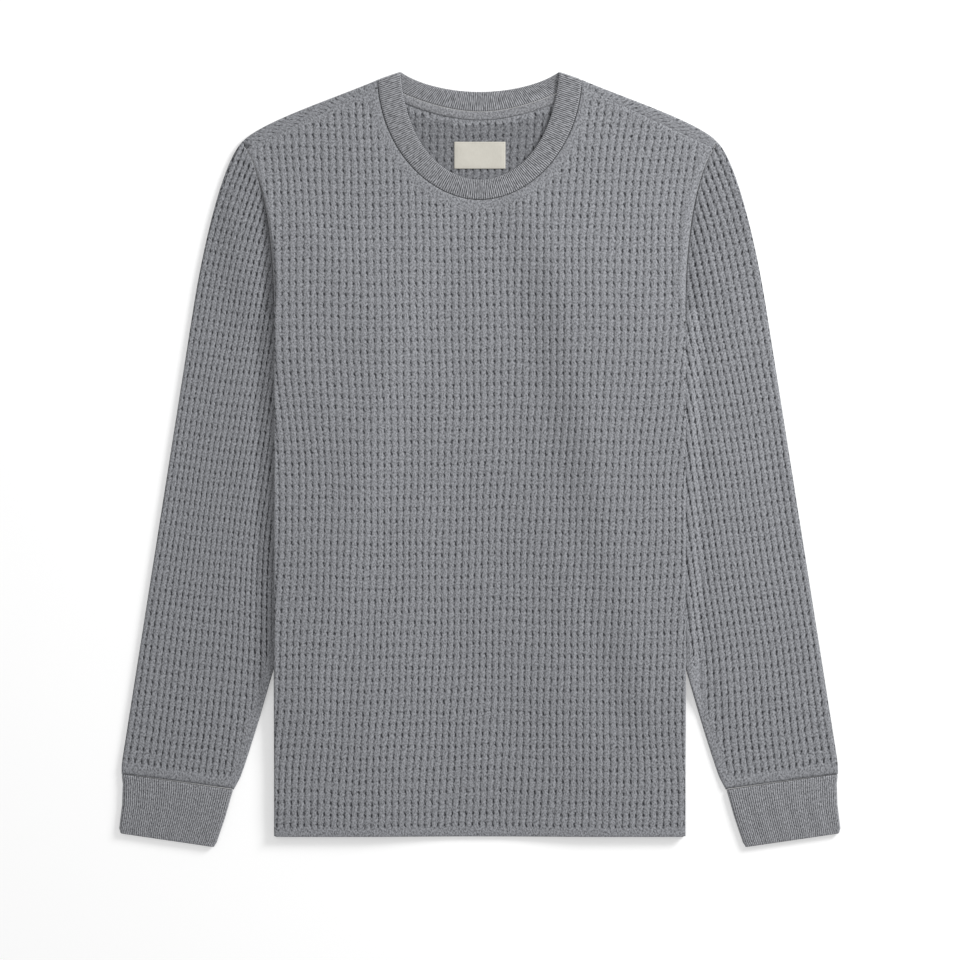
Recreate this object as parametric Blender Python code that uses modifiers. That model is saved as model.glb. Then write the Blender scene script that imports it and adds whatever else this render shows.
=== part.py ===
"""Long-sleeved thermal top: waffle knit with rib cuffs and neckband, laid flat on its back.

Metres, +Z up, the neck towards +Y and the wearer's left at +X. The origin is on the surface
that the top lies on, under the middle of its outline. Each cut piece is one object.

The body's sides are pushed in between front and back, as a paper bag's gusset is: the front
turns under at the side fold and comes back in as far as the side seam, and the back turns up
to meet it there. The sleeves lie beside the body, and their underarms run into that fold.
"""

import math

import bmesh
import bpy
from mathutils import Vector

# Cloth
CLOTH = 0.0016          # waffle knit, one layer
RIB = 0.0024            # rib knit, folded double
GAP = 0.0003            # between pieces that are sewn together or lie on each other
FOLD_RADIUS = 0.0021    # outside of a soft fold in the waffle knit
TAPE = 0.0008
LABEL = 0.0006

# Body, half widths and heights along the centre line
SIDE_FOLD_X = 0.1930
SIDE_SEAM_X = 0.1220
HEM_Y = -0.3544
ARMHOLE_FOOT_Y = 0.1310
UNDERARM_Y = 0.1120
SHOULDER_SEAM_DROP = 0.0075     # the shoulder seam sits forward of the shoulder fold
SLEEVE_EXIT = (0.1940, -0.2110)  # where the sleeve's inner fold comes out of the body's side
FOLD_STEPS = 4

# Heights above the surface, of the front panel's right side
FRONT_MIDDLE_Z = 0.0038
FRONT_SIDE_Z = 0.0087
FRONT_OVER_SLEEVE_Z = 0.0125
SHOULDER_Z = 2 * FOLD_RADIUS + 0.0004
SIDE_RISE_X = (0.015, 0.115)    # from the flat middle to the height over the side folds
NECK_RISE_X = 0.060             # the same beside the neck, where the shoulder height starts
OVER_SLEEVE_LEAD = 0.080        # how far inside the sleeve's inner fold the front starts to rise over it
OVER_SLEEVE_RISE = 0.045
OVER_SLEEVE_END_Y = (-0.300, -0.215)
SHOULDER_FALL = 0.150           # length of the fall from chest to shoulder height
SEAM_OPENING = 0.035            # length over which the side fold opens into the armhole's rolled edge
ROLL_SLOPE = 0.75               # width of the rolled edge against its depth
TUCKED_SLEEVE_Z = 2 * FOLD_RADIUS + GAP
TUCKED_SLEEVE_THICKNESS = 2 * CLOTH + GAP

# Sleeve, cuff and neck
SLEEVE_FOLD_RADIUS = 0.0023
SLEEVE_MIDDLE_THICKNESS = 0.0041
CUFF_FOLD_RADIUS = 0.0027
NECKBAND_FRONT_Z = 0.0032       # middle of the band's thickness at the centre front
NECKBAND_SHOULDER_Z = 0.0046
NECKBAND_RISE = 0.7             # share of the front neck seam over which the band rises
TAPE_WIDTH = 0.0075
LABEL_SIZE = (0.0482, 0.0254)
LABEL_Y = 0.2853

# Edges and seams of the wearer's left half, seen from above
CURVES = {
    # name                start              first handle       second handle      end
    "front_neck_seam":   ((0.0, 0.2438),     (0.0480, 0.2438),  (0.0930, 0.2920),  (0.0957, 0.3563)),
    "front_neck_edge":   ((0.0, 0.2624),     (0.0360, 0.2624),  (0.0700, 0.2970),  (0.0745, 0.3638)),
    "back_neck_seam":    ((0.0957, 0.3563),  (0.0750, 0.3430),  (0.0350, 0.3266),  (0.0, 0.3266)),
    "back_neck_edge":    ((0.0745, 0.3638),  (0.0580, 0.3520),  (0.0280, 0.3450),  (0.0, 0.3450)),
    "shoulder":          ((0.0957, 0.3563),  (0.1400, 0.3375),  (0.2080, 0.3160),  (0.2240, 0.2970)),
    "armhole":           ((0.1930, 0.1310),  (0.1925, 0.2150),  (0.2050, 0.2770),  (0.2240, 0.2970)),
    "sleeve_cap_edge":   ((0.2240, 0.2970),  (0.2410, 0.2790),  (0.2580, 0.2080),  (0.2678, 0.1495)),
    "sleeve_inner_edge": ((0.1220, 0.1120),  (0.1430, 0.0100),  (0.1700, -0.1400), (0.2290, -0.3101)),
}
SLEEVE_OUTER_END = (0.3378, -0.2952)

# Rows of the body panels from hem to armhole foot, then their share of the way to the shoulder
PANEL_ROWS_Y = (HEM_Y, -0.3450, -0.3000, -0.2500, -0.2000, -0.1400, -0.0600, 0.0300, UNDERARM_Y)
YOKE_ROWS = (0.14, 0.28, 0.43, 0.58, 0.73, 0.87, 1.0)
NECK_STEPS = 8
NECK_COLUMN_X = 0.0960
SIDE_COLUMNS_X = (0.1220, 0.1470, 0.1720)

# Sections of the sleeve from armhole to cuff, and its columns from the body's edge outwards
SLEEVE_SECTIONS = (0.0, 0.05, 0.12, 0.18, 0.26, 0.36, 0.47, 0.58, 0.68, 0.75, 0.80, 0.85, 0.90, 0.95, 1.0)
SLEEVE_COLUMNS = (0.0, 0.04, 0.08, 0.12, 0.18, 0.32, 0.52, 0.76, 1.0)
TUCKED_COLUMNS = (0.34, 0.67, 1.0)
SLEEVE_CAP_SHARE = 0.26         # of the outer edge's sections, on the curved cap
SLEEVE_MOUTH_INSET = 0.006      # least distance from the inner fold to the first visible column
SLEEVE_RAMP_START_X = 0.1975
SLEEVE_RAMP = 0.0120
SLEEVE_DROP_X = (0.199, 0.219)  # where the inner fold comes down to the surface past the body's side
OUTER_FOLD_SHARE = (0.0, 0.20)  # parts of the sleeve's width over which its folds stand up
INNER_FOLD_SHARE = (0.70, 0.95)
CUFF_STEPS = 5

# Sections of the cuff from its seam to its folded end: its outer and inner edges from above
CUFF_SECTIONS = (
    # outer edge          inner edge
    ((0.3362, -0.2962),   (0.2318, -0.3112)),
    ((0.3350, -0.3050),   (0.2341, -0.3190)),
    ((0.3356, -0.3240),   (0.2392, -0.3370)),
    ((0.3388, -0.3465),   (0.2470, -0.3600)),
    ((0.3378, -0.3506),   (0.2492, -0.3636)),
)

COLOURS = {
    "waffle": (0.215, 0.220, 0.235, 1.0),
    "rib": (0.225, 0.228, 0.242, 1.0),
    "tape": (0.200, 0.204, 0.218, 1.0),
    "label": (0.660, 0.635, 0.570, 1.0),
}


def clear_scene():
    for old in list(bpy.data.objects):
        bpy.data.objects.remove(old, do_unlink=True)


def smooth(value):
    """0 below 0, 1 above 1, and an S-shaped rise between."""
    value = min(1.0, max(0.0, value))
    return value * value * (3.0 - 2.0 * value)


def mix(first, second, share):
    return first + (second - first) * share


def curve_point(name, t):
    a, b, c, d = (Vector(point) for point in CURVES[name])
    u = 1.0 - t
    return a * u**3 + b * (3 * u * u * t) + c * (3 * u * t * t) + d * t**3


def curve_normal(name, t):
    """Unit vector to the left of the curve's direction, seen from above."""
    low, high = max(0.0, t - 0.01), min(1.0, t + 0.01)
    along = curve_point(name, high) - curve_point(name, low)
    return Vector((-along.y, along.x)).normalized()


def blended_patch(bottom, top, left, right, s, t):
    """Point of the Coons patch between four edge functions of 0 to 1, which meet at their corners."""
    ruled = bottom(s) * (1 - t) + top(s) * t + left(t) * (1 - s) + right(t) * s
    corners = (left(0) * (1 - s) + right(0) * s) * (1 - t) + (left(1) * (1 - s) + right(1) * s) * t
    return ruled - corners


def lifted(point, z):
    return Vector((point.x, point.y, z))


def sheet_mesh(name, rows, closed_rows=False, flip=False):
    """Mesh of four-sided faces between rows of points. A missing point is None and leaves a hole."""
    mesh = bmesh.new()
    made = [[mesh.verts.new(point) if point is not None else None for point in row] for row in rows]
    for lower, upper in zip(made, made[1:]):
        count = min(len(lower), len(upper))
        for i in range(count if closed_rows else count - 1):
            j = (i + 1) % count
            corners = [lower[i], lower[j], upper[j], upper[i]]
            if None not in corners:
                mesh.faces.new(reversed(corners) if flip else corners)
    bmesh.ops.delete(mesh, geom=[v for v in mesh.verts if not v.link_faces], context="VERTS")
    data = bpy.data.meshes.new(name)
    mesh.to_mesh(data)
    mesh.free()
    return data


def add_piece(name, data, colour, thickness=None, mirrored=False):
    """Object for one cut piece: mirrored, given its cloth's thickness and shaded smooth."""
    piece = bpy.data.objects.new(name, data)
    piece.parent = bpy.data.objects["origin"]
    bpy.data.collections["thermal_top"].objects.link(piece)
    material = bpy.data.materials.new(name)
    material.use_nodes = True
    shader = material.node_tree.nodes["Principled BSDF"]
    shader.inputs["Base Color"].default_value = COLOURS[colour]
    shader.inputs["Roughness"].default_value = 0.95
    shader.inputs["Metallic"].default_value = 0.0
    data.materials.append(material)
    if mirrored:
        mirror = piece.modifiers.new("Mirror", "MIRROR")
        mirror.merge_threshold = 0.0001
    if thickness:
        solidify = piece.modifiers.new("Solidify", "SOLIDIFY")
        solidify.thickness = thickness
        solidify.offset = -1.0
        solidify.use_rim = True
    data.shade_smooth()
    data.set_sharp_from_angle(angle=math.radians(50))
    return piece


def rise(value, limits):
    """0 before the first limit, 1 after the second."""
    return smooth((value - limits[0]) / (limits[1] - limits[0]))


def front_height(x, y):
    """Height of the front panel's right side: low along the middle, high over the side folds."""
    x = abs(x)
    over_tuck = (FRONT_SIDE_Z - FRONT_MIDDLE_Z) * rise(x, SIDE_RISE_X)
    down_sleeve = (UNDERARM_Y - y) / (UNDERARM_Y - SLEEVE_EXIT[1])
    lead_x = mix(SIDE_SEAM_X, SLEEVE_EXIT[0], down_sleeve) - OVER_SLEEVE_LEAD
    over_sleeve = (FRONT_OVER_SLEEVE_Z - FRONT_SIDE_Z) * smooth((x - lead_x) / OVER_SLEEVE_RISE)
    over_sleeve *= rise(y, OVER_SLEEVE_END_Y)
    to_shoulder = smooth((y - ARMHOLE_FOOT_Y) / SHOULDER_FALL) * smooth(x / NECK_RISE_X)
    return mix(FRONT_MIDDLE_Z + over_tuck + over_sleeve, SHOULDER_Z, to_shoulder)


def yoke_point(side, neck_seam, shoulder_edge, s, t):
    """Point of a panel above the armhole foot, centre to armhole (s) and up to neck and shoulder (t)."""
    fold_start_x = SIDE_FOLD_X - FOLD_RADIUS
    neck_share = NECK_COLUMN_X / fold_start_x

    def chest(s):
        return Vector((fold_start_x * s, ARMHOLE_FOOT_Y))

    def top(s):
        if s <= neck_share:
            return neck_seam(s / neck_share)
        return shoulder_edge((s - neck_share) / (1 - neck_share))

    def centre(t):
        return chest(0) + (top(0) - chest(0)) * t

    return blended_patch(chest, top, centre, side, s, t)


def panel_columns():
    neck = [NECK_COLUMN_X * i / NECK_STEPS for i in range(NECK_STEPS + 1)]
    return neck + list(SIDE_COLUMNS_X) + [SIDE_FOLD_X - FOLD_RADIUS]


def fold_angles(end=-90.0):
    return [math.radians(mix(90.0, end, i / FOLD_STEPS)) for i in range(1, FOLD_STEPS + 1)]


def share_before_end(name, distance):
    """Where on a curve the point lies that is this far from its end."""
    end = curve_point(name, 1.0)
    share = 1.0
    while (curve_point(name, share) - end).length < distance:
        share -= 0.002
    return share


def neck_seam_edge(name, t):
    """Edge of a body panel along its neck seam, clear of the neckband and of its shoulder fold."""
    away, shoulder = (-1.0, t) if name == "front_neck_seam" else (1.0, 1.0 - t)
    clearance = GAP * (1.2 + 1.8 * max(0.0, shoulder) ** 6)
    return curve_point(name, t) + curve_normal(name, t) * (clearance * away)


def shoulder_seam_point(share):
    """Shoulder seam, from the neck to the armhole."""
    neck = neck_seam_edge("front_neck_seam", share_before_end("front_neck_seam", SHOULDER_SEAM_DROP))
    return mix(neck, curve_point("armhole", share_before_end("armhole", SHOULDER_SEAM_DROP)), share)


def lower_rows(height, turn):
    """Rows from hem to armhole foot: the panel, its side fold and the part turned in to the side seam.

    The fold turns down where turn is -1, as on the front, and up where it is 1.
    """
    columns = panel_columns()
    rows = []
    for y in PANEL_ROWS_Y + (ARMHOLE_FOOT_Y,):
        row = [Vector((x, y, height(x, y))) for x in columns]
        for angle in fold_angles():
            x = columns[-1] + FOLD_RADIUS * math.cos(angle)
            row.append(Vector((x, y, row[len(columns) - 1].z + turn * FOLD_RADIUS * (1 - math.sin(angle)))))
        slant = smooth(y / ARMHOLE_FOOT_Y) * (ARMHOLE_FOOT_Y - UNDERARM_Y)
        for x in reversed(SIDE_COLUMNS_X):
            inward = (SIDE_FOLD_X - x) / (SIDE_FOLD_X - SIDE_SEAM_X)
            row.append(Vector((x, y - slant * inward, height(x, y) + turn * 2 * FOLD_RADIUS)))
        rows.append(row)
    return rows


def front_panel():
    """Front: neck, shoulders and armholes cut to their seams, sides turned under as far as the side seams."""
    columns = panel_columns()
    rows = lower_rows(front_height, -1)
    seam_end = share_before_end("armhole", SHOULDER_SEAM_DROP)
    neck_end = share_before_end("front_neck_seam", SHOULDER_SEAM_DROP)

    def roll_depth(t):
        """Height of the soft edge that the panel rolls down to its armhole seam."""
        y = curve_point("armhole", t * seam_end).y
        clear_of_fold = smooth((y - ARMHOLE_FOOT_Y) / (FOLD_RADIUS * 10))
        sleeve_z = mix(TUCKED_SLEEVE_Z + TUCKED_SLEEVE_THICKNESS, SLEEVE_MIDDLE_THICKNESS, clear_of_fold)
        return max(0.0008, front_height(SIDE_FOLD_X, y) - sleeve_z)

    def opened(t):
        """0 where the edge is still the side fold, 1 where it is a rolled edge along the seam."""
        return smooth((curve_point("armhole", t * seam_end).y - ARMHOLE_FOOT_Y) / SEAM_OPENING)

    def roll_width(t):
        return mix(FOLD_RADIUS, max(FOLD_RADIUS, ROLL_SLOPE * roll_depth(t)), opened(t))

    def outward(t):
        """Across the armhole seam, turning into line with the shoulder seam at the top."""
        along_seam = (shoulder_seam_point(1) - shoulder_seam_point(0)).normalized()
        return mix(-curve_normal("armhole", t * seam_end), along_seam, t**4).normalized()

    def roll_start(t):
        return curve_point("armhole", t * seam_end) - outward(t) * roll_width(t)

    for t in YOKE_ROWS:
        row = []
        for x in columns:
            point = yoke_point(
                roll_start,
                lambda s: neck_seam_edge("front_neck_seam", s * neck_end),
                lambda s: shoulder_seam_point(s) - (shoulder_seam_point(1) - roll_start(1)) * s,
                x / columns[-1],
                t,
            )
            row.append(lifted(point, front_height(point.x, point.y)))
        start = roll_start(t)
        top_z = row[-1].z
        depth = mix(FOLD_RADIUS, roll_depth(t), opened(t))
        for angle in fold_angles(mix(-90.0, -5.0, opened(t))):
            point = start + outward(t) * (roll_width(t) * math.cos(angle))
            row.append(lifted(point, top_z - depth + depth * math.sin(angle)))
        rows.append(row)
    return add_piece("front_panel", sheet_mesh("front_panel", rows), "waffle", CLOTH, mirrored=True)


def back_panel():
    """Back: flat on the surface, sides turned up and in, shoulders folded over to the front."""
    columns = panel_columns()
    rows = lower_rows(lambda x, y: 0.0, 1)

    def edge_start(t):
        return curve_point("armhole", t) + curve_normal("armhole", t) * FOLD_RADIUS

    def shoulder_base(share):
        return curve_point("shoulder", share) - curve_normal("shoulder", share) * FOLD_RADIUS

    for t in YOKE_ROWS:
        row = []
        for x in columns:
            point = yoke_point(
                edge_start,
                lambda s: neck_seam_edge("back_neck_seam", 1 - s),
                lambda s: shoulder_base(s) - (shoulder_base(1) - edge_start(1)) * s,
                x / columns[-1],
                t,
            )
            row.append(lifted(point, 0.0))
        opened = smooth((curve_point("armhole", t).y - ARMHOLE_FOOT_Y) / SEAM_OPENING)
        outward = -curve_normal("armhole", t)
        for i, angle in enumerate(fold_angles(), start=1):
            reach = mix(FOLD_RADIUS * math.cos(angle), FOLD_RADIUS * i / FOLD_STEPS, opened)
            height = (FOLD_RADIUS - FOLD_RADIUS * math.sin(angle)) * (1 - opened)
            row.append(lifted(edge_start(t) + outward * reach, height))
        rows.append(row)

    neck_share = NECK_COLUMN_X / columns[-1]
    shares = [(x / columns[-1] - neck_share) / (1 - neck_share) for x in columns[NECK_STEPS:]]
    blank = [None] * NECK_STEPS
    rims = rows[-1][NECK_STEPS:len(columns)]
    for angle in fold_angles():
        reach, height = FOLD_RADIUS * math.cos(angle), FOLD_RADIUS * (1 - math.sin(angle))
        rows.append(blank + [lifted(rim.xy + curve_normal("shoulder", share) * reach, height)
                             for rim, share in zip(rims, shares)])
    seam_gap = [curve_normal("shoulder", share) * GAP for share in shares]
    rows.append(blank + [lifted(shoulder_seam_point(share) + gap, 2 * FOLD_RADIUS)
                         for share, gap in zip(shares, seam_gap)])
    return add_piece("back_panel", sheet_mesh("back_panel", rows, flip=True), "waffle", CLOTH, mirrored=True)


def sleeve_edges(t):
    """At one section: the outer fold, its direction, the column at the body's side, the inner fold."""
    if t < SLEEVE_CAP_SHARE:
        outer = curve_point("sleeve_cap_edge", t / SLEEVE_CAP_SHARE)
        normal = curve_normal("sleeve_cap_edge", t / SLEEVE_CAP_SHARE)
    else:
        start, end = curve_point("sleeve_cap_edge", 1.0), Vector(SLEEVE_OUTER_END)
        outer = mix(start, end, (t - SLEEVE_CAP_SHARE) / (1 - SLEEVE_CAP_SHARE))
        normal = Vector((start.y - end.y, end.x - start.x)).normalized()
    inner = curve_point("sleeve_inner_edge", t)
    mouth_x = max(SIDE_FOLD_X + 2 * GAP, inner.x + SLEEVE_MOUTH_INSET)
    return outer, normal, Vector((mouth_x, mix(ARMHOLE_FOOT_Y, inner.y, t))), inner


def sleeve_lift(x, y, t):
    """Height of the sleeve's underside: raised inside the side fold, then down to the surface."""
    still_tucked = 1.0 - rise(curve_point("sleeve_inner_edge", t).x, SLEEVE_DROP_X)
    past_fold = max(0.0, x - SLEEVE_RAMP_START_X)
    past_foot = max(0.0, y - ARMHOLE_FOOT_Y)
    ramp = 1.0 - smooth(math.hypot(past_fold, past_foot) / SLEEVE_RAMP)
    return TUCKED_SLEEVE_Z * still_tucked * ramp


def sleeve(side):
    """Sleeve: a tube pressed flat, sewn to the armhole, its underarm run into the side fold."""
    armhole_start = share_before_end("armhole", SLEEVE_FOLD_RADIUS)

    def armhole(s):
        share = armhole_start * (1 - s)
        return curve_point("armhole", share) - curve_normal("armhole", share) * (2 * GAP)

    def outer_line(t):
        outer, normal, mouth, inner = sleeve_edges(t)
        return outer - normal * SLEEVE_FOLD_RADIUS

    def mouth_line(t):
        return sleeve_edges(t)[2]

    def cuff_seam(s):
        return mix(outer_line(1.0), mouth_line(1.0), s)

    rows = []
    for t in SLEEVE_SECTIONS:
        outer, normal, mouth, inner = sleeve_edges(t)
        inwards = (inner - mouth).normalized()
        tucked = 1.0 - rise(inner.x, SLEEVE_DROP_X)
        fold = mix(FOLD_RADIUS, TUCKED_SLEEVE_THICKNESS / 2, tucked)
        shares = [1 - s for s in reversed(SLEEVE_COLUMNS)]
        plan = [blended_patch(armhole, cuff_seam, outer_line, mouth_line, s, t) for s in shares]
        base = inner - inwards * fold
        plan += [mix(mouth, base, share) for share in TUCKED_COLUMNS]
        shares += [1.0] * len(TUCKED_COLUMNS)
        top, bottom = [], []
        for point, share in zip(plan, shares):
            low = sleeve_lift(point.x, point.y, t)
            thick = mix(2 * SLEEVE_FOLD_RADIUS, SLEEVE_MIDDLE_THICKNESS, rise(share, OUTER_FOLD_SHARE))
            thick = mix(thick, 2 * fold, rise(share, INNER_FOLD_SHARE))
            top.append(lifted(point, low + thick))
            bottom.append(lifted(point, low))
        centre_z = (top[-1].z + bottom[-1].z) / 2
        inner_arc = [lifted(base + inwards * (fold * math.cos(angle)), centre_z + fold * math.sin(angle))
                     for angle in fold_angles()[:-1]]
        outer_arc = [lifted(plan[0] + normal * (SLEEVE_FOLD_RADIUS * math.cos(angle)),
                            SLEEVE_FOLD_RADIUS * (1 - math.sin(angle)))
                     for angle in fold_angles()[:-1]]
        ring = top + inner_arc + bottom[::-1] + outer_arc
        rows.append([Vector((point.x * side, point.y, point.z)) for point in ring])
    name = "sleeve_left" if side > 0 else "sleeve_right"
    return add_piece(name, sheet_mesh(name, rows, closed_rows=True, flip=side < 0), "waffle", CLOTH)


def cuff(side):
    """Cuff: a tube of doubled rib, pressed flat, its fold at the hand and its cut edges in the seam."""
    rows = []
    for outer, inner in CUFF_SECTIONS:
        outer, inner = Vector(outer), Vector(inner)
        inwards = (inner - outer).normalized()
        start, end = outer + inwards * CUFF_FOLD_RADIUS, inner - inwards * CUFF_FOLD_RADIUS
        plan = [mix(start, end, i / CUFF_STEPS) for i in range(CUFF_STEPS + 1)]
        top = [lifted(point, 2 * CUFF_FOLD_RADIUS) for point in plan]
        bottom = [lifted(point, 0.0) for point in plan]
        arc = [(CUFF_FOLD_RADIUS * math.cos(angle), CUFF_FOLD_RADIUS * math.sin(angle))
               for angle in fold_angles()[:-1]]
        inner_arc = [lifted(end + inwards * reach, CUFF_FOLD_RADIUS + height) for reach, height in arc]
        outer_arc = [lifted(start - inwards * reach, CUFF_FOLD_RADIUS - height) for reach, height in arc]
        ring = top + inner_arc + bottom[::-1] + outer_arc
        rows.append([Vector((point.x * side, point.y, point.z)) for point in ring])
    name = "cuff_left" if side > 0 else "cuff_right"
    return add_piece(name, sheet_mesh(name, rows, closed_rows=True, flip=side < 0), "rib", RIB)


def band_section(seam, edge, outward):
    """Section of the neckband: cut edges at the seam, the fold at the neck's edge, outward the right side."""
    half = RIB / 2
    across = (edge - seam).normalized()
    return [
        seam - outward * half,
        seam + outward * half,
        edge + outward * half - across * half,
        edge + outward * (half * 0.6) - across * (half * 0.2),
        edge - outward * (half * 0.6) - across * (half * 0.2),
        edge - outward * half - across * half,
    ]


def near_shoulder(name, distance):
    """Point on a neck curve, this far from its end at the shoulder."""
    start, first, second, end = (Vector(point) for point in CURVES[name])
    if name.startswith("front"):
        return curve_point(name, 1.0 - distance / (3 * (end - second).length))
    return curve_point(name, distance / (3 * (first - start).length))


def neckband():
    """Neckband: a ring of doubled rib, right side up in front, folded at the shoulders, inside up behind."""
    sections = []
    up = Vector((0, 0, 1))
    bend = (NECKBAND_SHOULDER_Z - RIB / 2) / 2
    reach = bend + RIB / 2
    fold_centre_z = RIB / 2 + bend
    for i in range(NECK_STEPS):
        t = i / NECK_STEPS * share_before_end("front_neck_seam", SHOULDER_SEAM_DROP)
        z = mix(NECKBAND_FRONT_Z, NECKBAND_SHOULDER_Z, smooth(t / NECKBAND_RISE))
        sections.append(band_section(lifted(curve_point("front_neck_seam", t), z),
                                     lifted(curve_point("front_neck_edge", t), z), up))
    peak = curve_point("front_neck_edge", 1.0) - curve_point("front_neck_seam", 1.0)
    outward = Vector((peak.y, -peak.x)).normalized()
    for angle in [math.radians(90.0)] + fold_angles():
        panel = "front" if angle >= 0.0 else "back"
        z = fold_centre_z + bend * math.sin(angle)
        inset = reach - bend * math.cos(angle)
        seam = lifted(near_shoulder(panel + "_neck_seam", inset), z)
        edge = lifted(near_shoulder(panel + "_neck_edge", inset), z)
        sections.append(band_section(seam, edge, lifted(outward * math.cos(angle), math.sin(angle))))
    for i in range(1, NECK_STEPS + 1):
        t = i / NECK_STEPS
        sections.append(band_section(lifted(curve_point("back_neck_seam", t), RIB / 2),
                                     lifted(curve_point("back_neck_edge", t), RIB / 2), -up))
    data = sheet_mesh("neckband", sections, closed_rows=True, flip=True)
    return add_piece("neckband", data, "rib", mirrored=True)


def neck_tape():
    """Tape over the back neck seam, on the inside, laid on the back panel from shoulder to shoulder."""
    top_z = CLOTH + GAP + TAPE
    rows = []
    for depth in (0.0, TAPE_WIDTH):
        row = []
        for i in range(1, NECK_STEPS + 1):
            t = i / NECK_STEPS
            point = neck_seam_edge("back_neck_seam", t) + curve_normal("back_neck_seam", t) * depth
            row.append(lifted(point, top_z))
        rows.append(row)
    return add_piece("neck_tape", sheet_mesh("neck_tape", rows), "tape", TAPE, mirrored=True)


def neck_label():
    """Label sewn flat on the inside of the back panel, below the tape."""
    mesh = bmesh.new()
    bmesh.ops.create_grid(mesh, x_segments=1, y_segments=1, size=0.5)
    bmesh.ops.scale(mesh, vec=(LABEL_SIZE[0], LABEL_SIZE[1], 1.0), verts=mesh.verts)
    data = bpy.data.meshes.new("neck_label")
    mesh.to_mesh(data)
    mesh.free()
    piece = add_piece("neck_label", data, "label", LABEL)
    piece.location = (0.0, LABEL_Y, CLOTH + GAP + LABEL)
    return piece


def main():
    clear_scene()
    top = bpy.data.collections.new("thermal_top")
    bpy.context.scene.collection.children.link(top)
    top.objects.link(bpy.data.objects.new("origin", None))
    front_panel()
    back_panel()
    for side in (1, -1):
        sleeve(side)
        cuff(side)
    neckband()
    neck_tape()
    neck_label()


main()
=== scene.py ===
"""Long-sleeved waffle-knit top, laid flat on its back: the finished look of each piece."""

import math

import bmesh
import bpy
import numpy as np
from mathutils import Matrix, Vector
from mathutils.geometry import delaunay_2d_cdt


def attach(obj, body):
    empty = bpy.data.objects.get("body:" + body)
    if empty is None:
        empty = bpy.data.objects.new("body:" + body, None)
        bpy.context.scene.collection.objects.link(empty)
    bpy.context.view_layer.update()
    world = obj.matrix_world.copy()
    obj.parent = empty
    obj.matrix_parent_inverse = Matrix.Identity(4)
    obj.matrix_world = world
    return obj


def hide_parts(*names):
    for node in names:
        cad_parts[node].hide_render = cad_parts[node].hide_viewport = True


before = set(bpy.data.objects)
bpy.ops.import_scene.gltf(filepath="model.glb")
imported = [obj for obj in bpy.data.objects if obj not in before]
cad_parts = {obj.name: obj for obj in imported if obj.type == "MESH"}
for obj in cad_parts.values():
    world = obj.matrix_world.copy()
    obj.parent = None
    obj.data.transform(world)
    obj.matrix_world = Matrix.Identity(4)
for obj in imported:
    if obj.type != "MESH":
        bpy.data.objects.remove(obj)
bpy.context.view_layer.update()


# ---------------------------------------------------------------------------------------------
# Table, light and camera
# A white table top under soft studio light. The key light comes low from beyond the wearer's
# left shoulder, and the camera looks straight down from far above.

VIEW_CENTRE = Vector((0.0002, -0.0197, 0.0))
VIEW_WIDTH = 0.9024
CAMERA_HEIGHT = 3.0
SENSOR_WIDTH = 36.0
LAMP_DISTANCE = 2.5
TABLE_SIZE = 6.0
TABLE_TOP_Z = -0.0004
TABLE_WHITE = (0.72, 0.72, 0.72, 1.0)
WHITE = (1.0, 1.0, 1.0, 1.0)

camera = bpy.data.objects.new("camera", bpy.data.cameras.new("camera"))
camera.data.sensor_width = SENSOR_WIDTH
camera.data.lens = SENSOR_WIDTH * CAMERA_HEIGHT / VIEW_WIDTH
camera.data.clip_end = 50.0
camera.location = VIEW_CENTRE + Vector((0.0, 0.0, CAMERA_HEIGHT))
bpy.context.scene.collection.objects.link(camera)
bpy.context.scene.camera = camera
bpy.context.scene.view_settings.view_transform = "Standard"


def add_light(name, kind, strength, direction, size):
    """Light that comes from a direction. Size is an area lamp's metres or a sun's degrees."""
    data = bpy.data.lights.new(name, kind)
    data.energy = strength
    if kind == "SUN":
        data.angle = math.radians(size)
    else:
        data.size = size
    light = bpy.data.objects.new(name, data)
    light.rotation_euler = Vector(direction).to_track_quat("Z", "Y").to_euler()
    light.location = Vector(direction).normalized() * LAMP_DISTANCE
    bpy.context.scene.collection.objects.link(light)


add_light("key", "AREA", 63.0, (0.71, 0.52, 0.53), 0.95)
add_light("overhead", "SUN", 0.58, (-0.15, 0.10, 1.0), 60.0)

world = bpy.data.worlds.new("studio")
world.use_nodes = True
world.node_tree.nodes["Background"].inputs["Color"].default_value = WHITE
world.node_tree.nodes["Background"].inputs["Strength"].default_value = 0.41
bpy.context.scene.world = world

bpy.ops.mesh.primitive_plane_add(size=TABLE_SIZE, location=(0.0, 0.0, TABLE_TOP_Z))
table = bpy.context.object
table.name = "table"
paint = bpy.data.materials.new("table_paint")
paint.use_nodes = True
table_shader = paint.node_tree.nodes["Principled BSDF"]
table_shader.inputs["Base Color"].default_value = TABLE_WHITE
table_shader.inputs["Emission Color"].default_value = WHITE
table_shader.inputs["Emission Strength"].default_value = 0.32
table_shader.inputs["Roughness"].default_value = 0.9
table.data.materials.append(paint)


# ---------------------------------------------------------------------------------------------
# Front panel
# One cut piece of heather waffle knit. Its sides turn under at soft folds, its neck, shoulders
# and armholes are sewn to the other pieces, and its hem is turned up and pressed flat.

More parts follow.
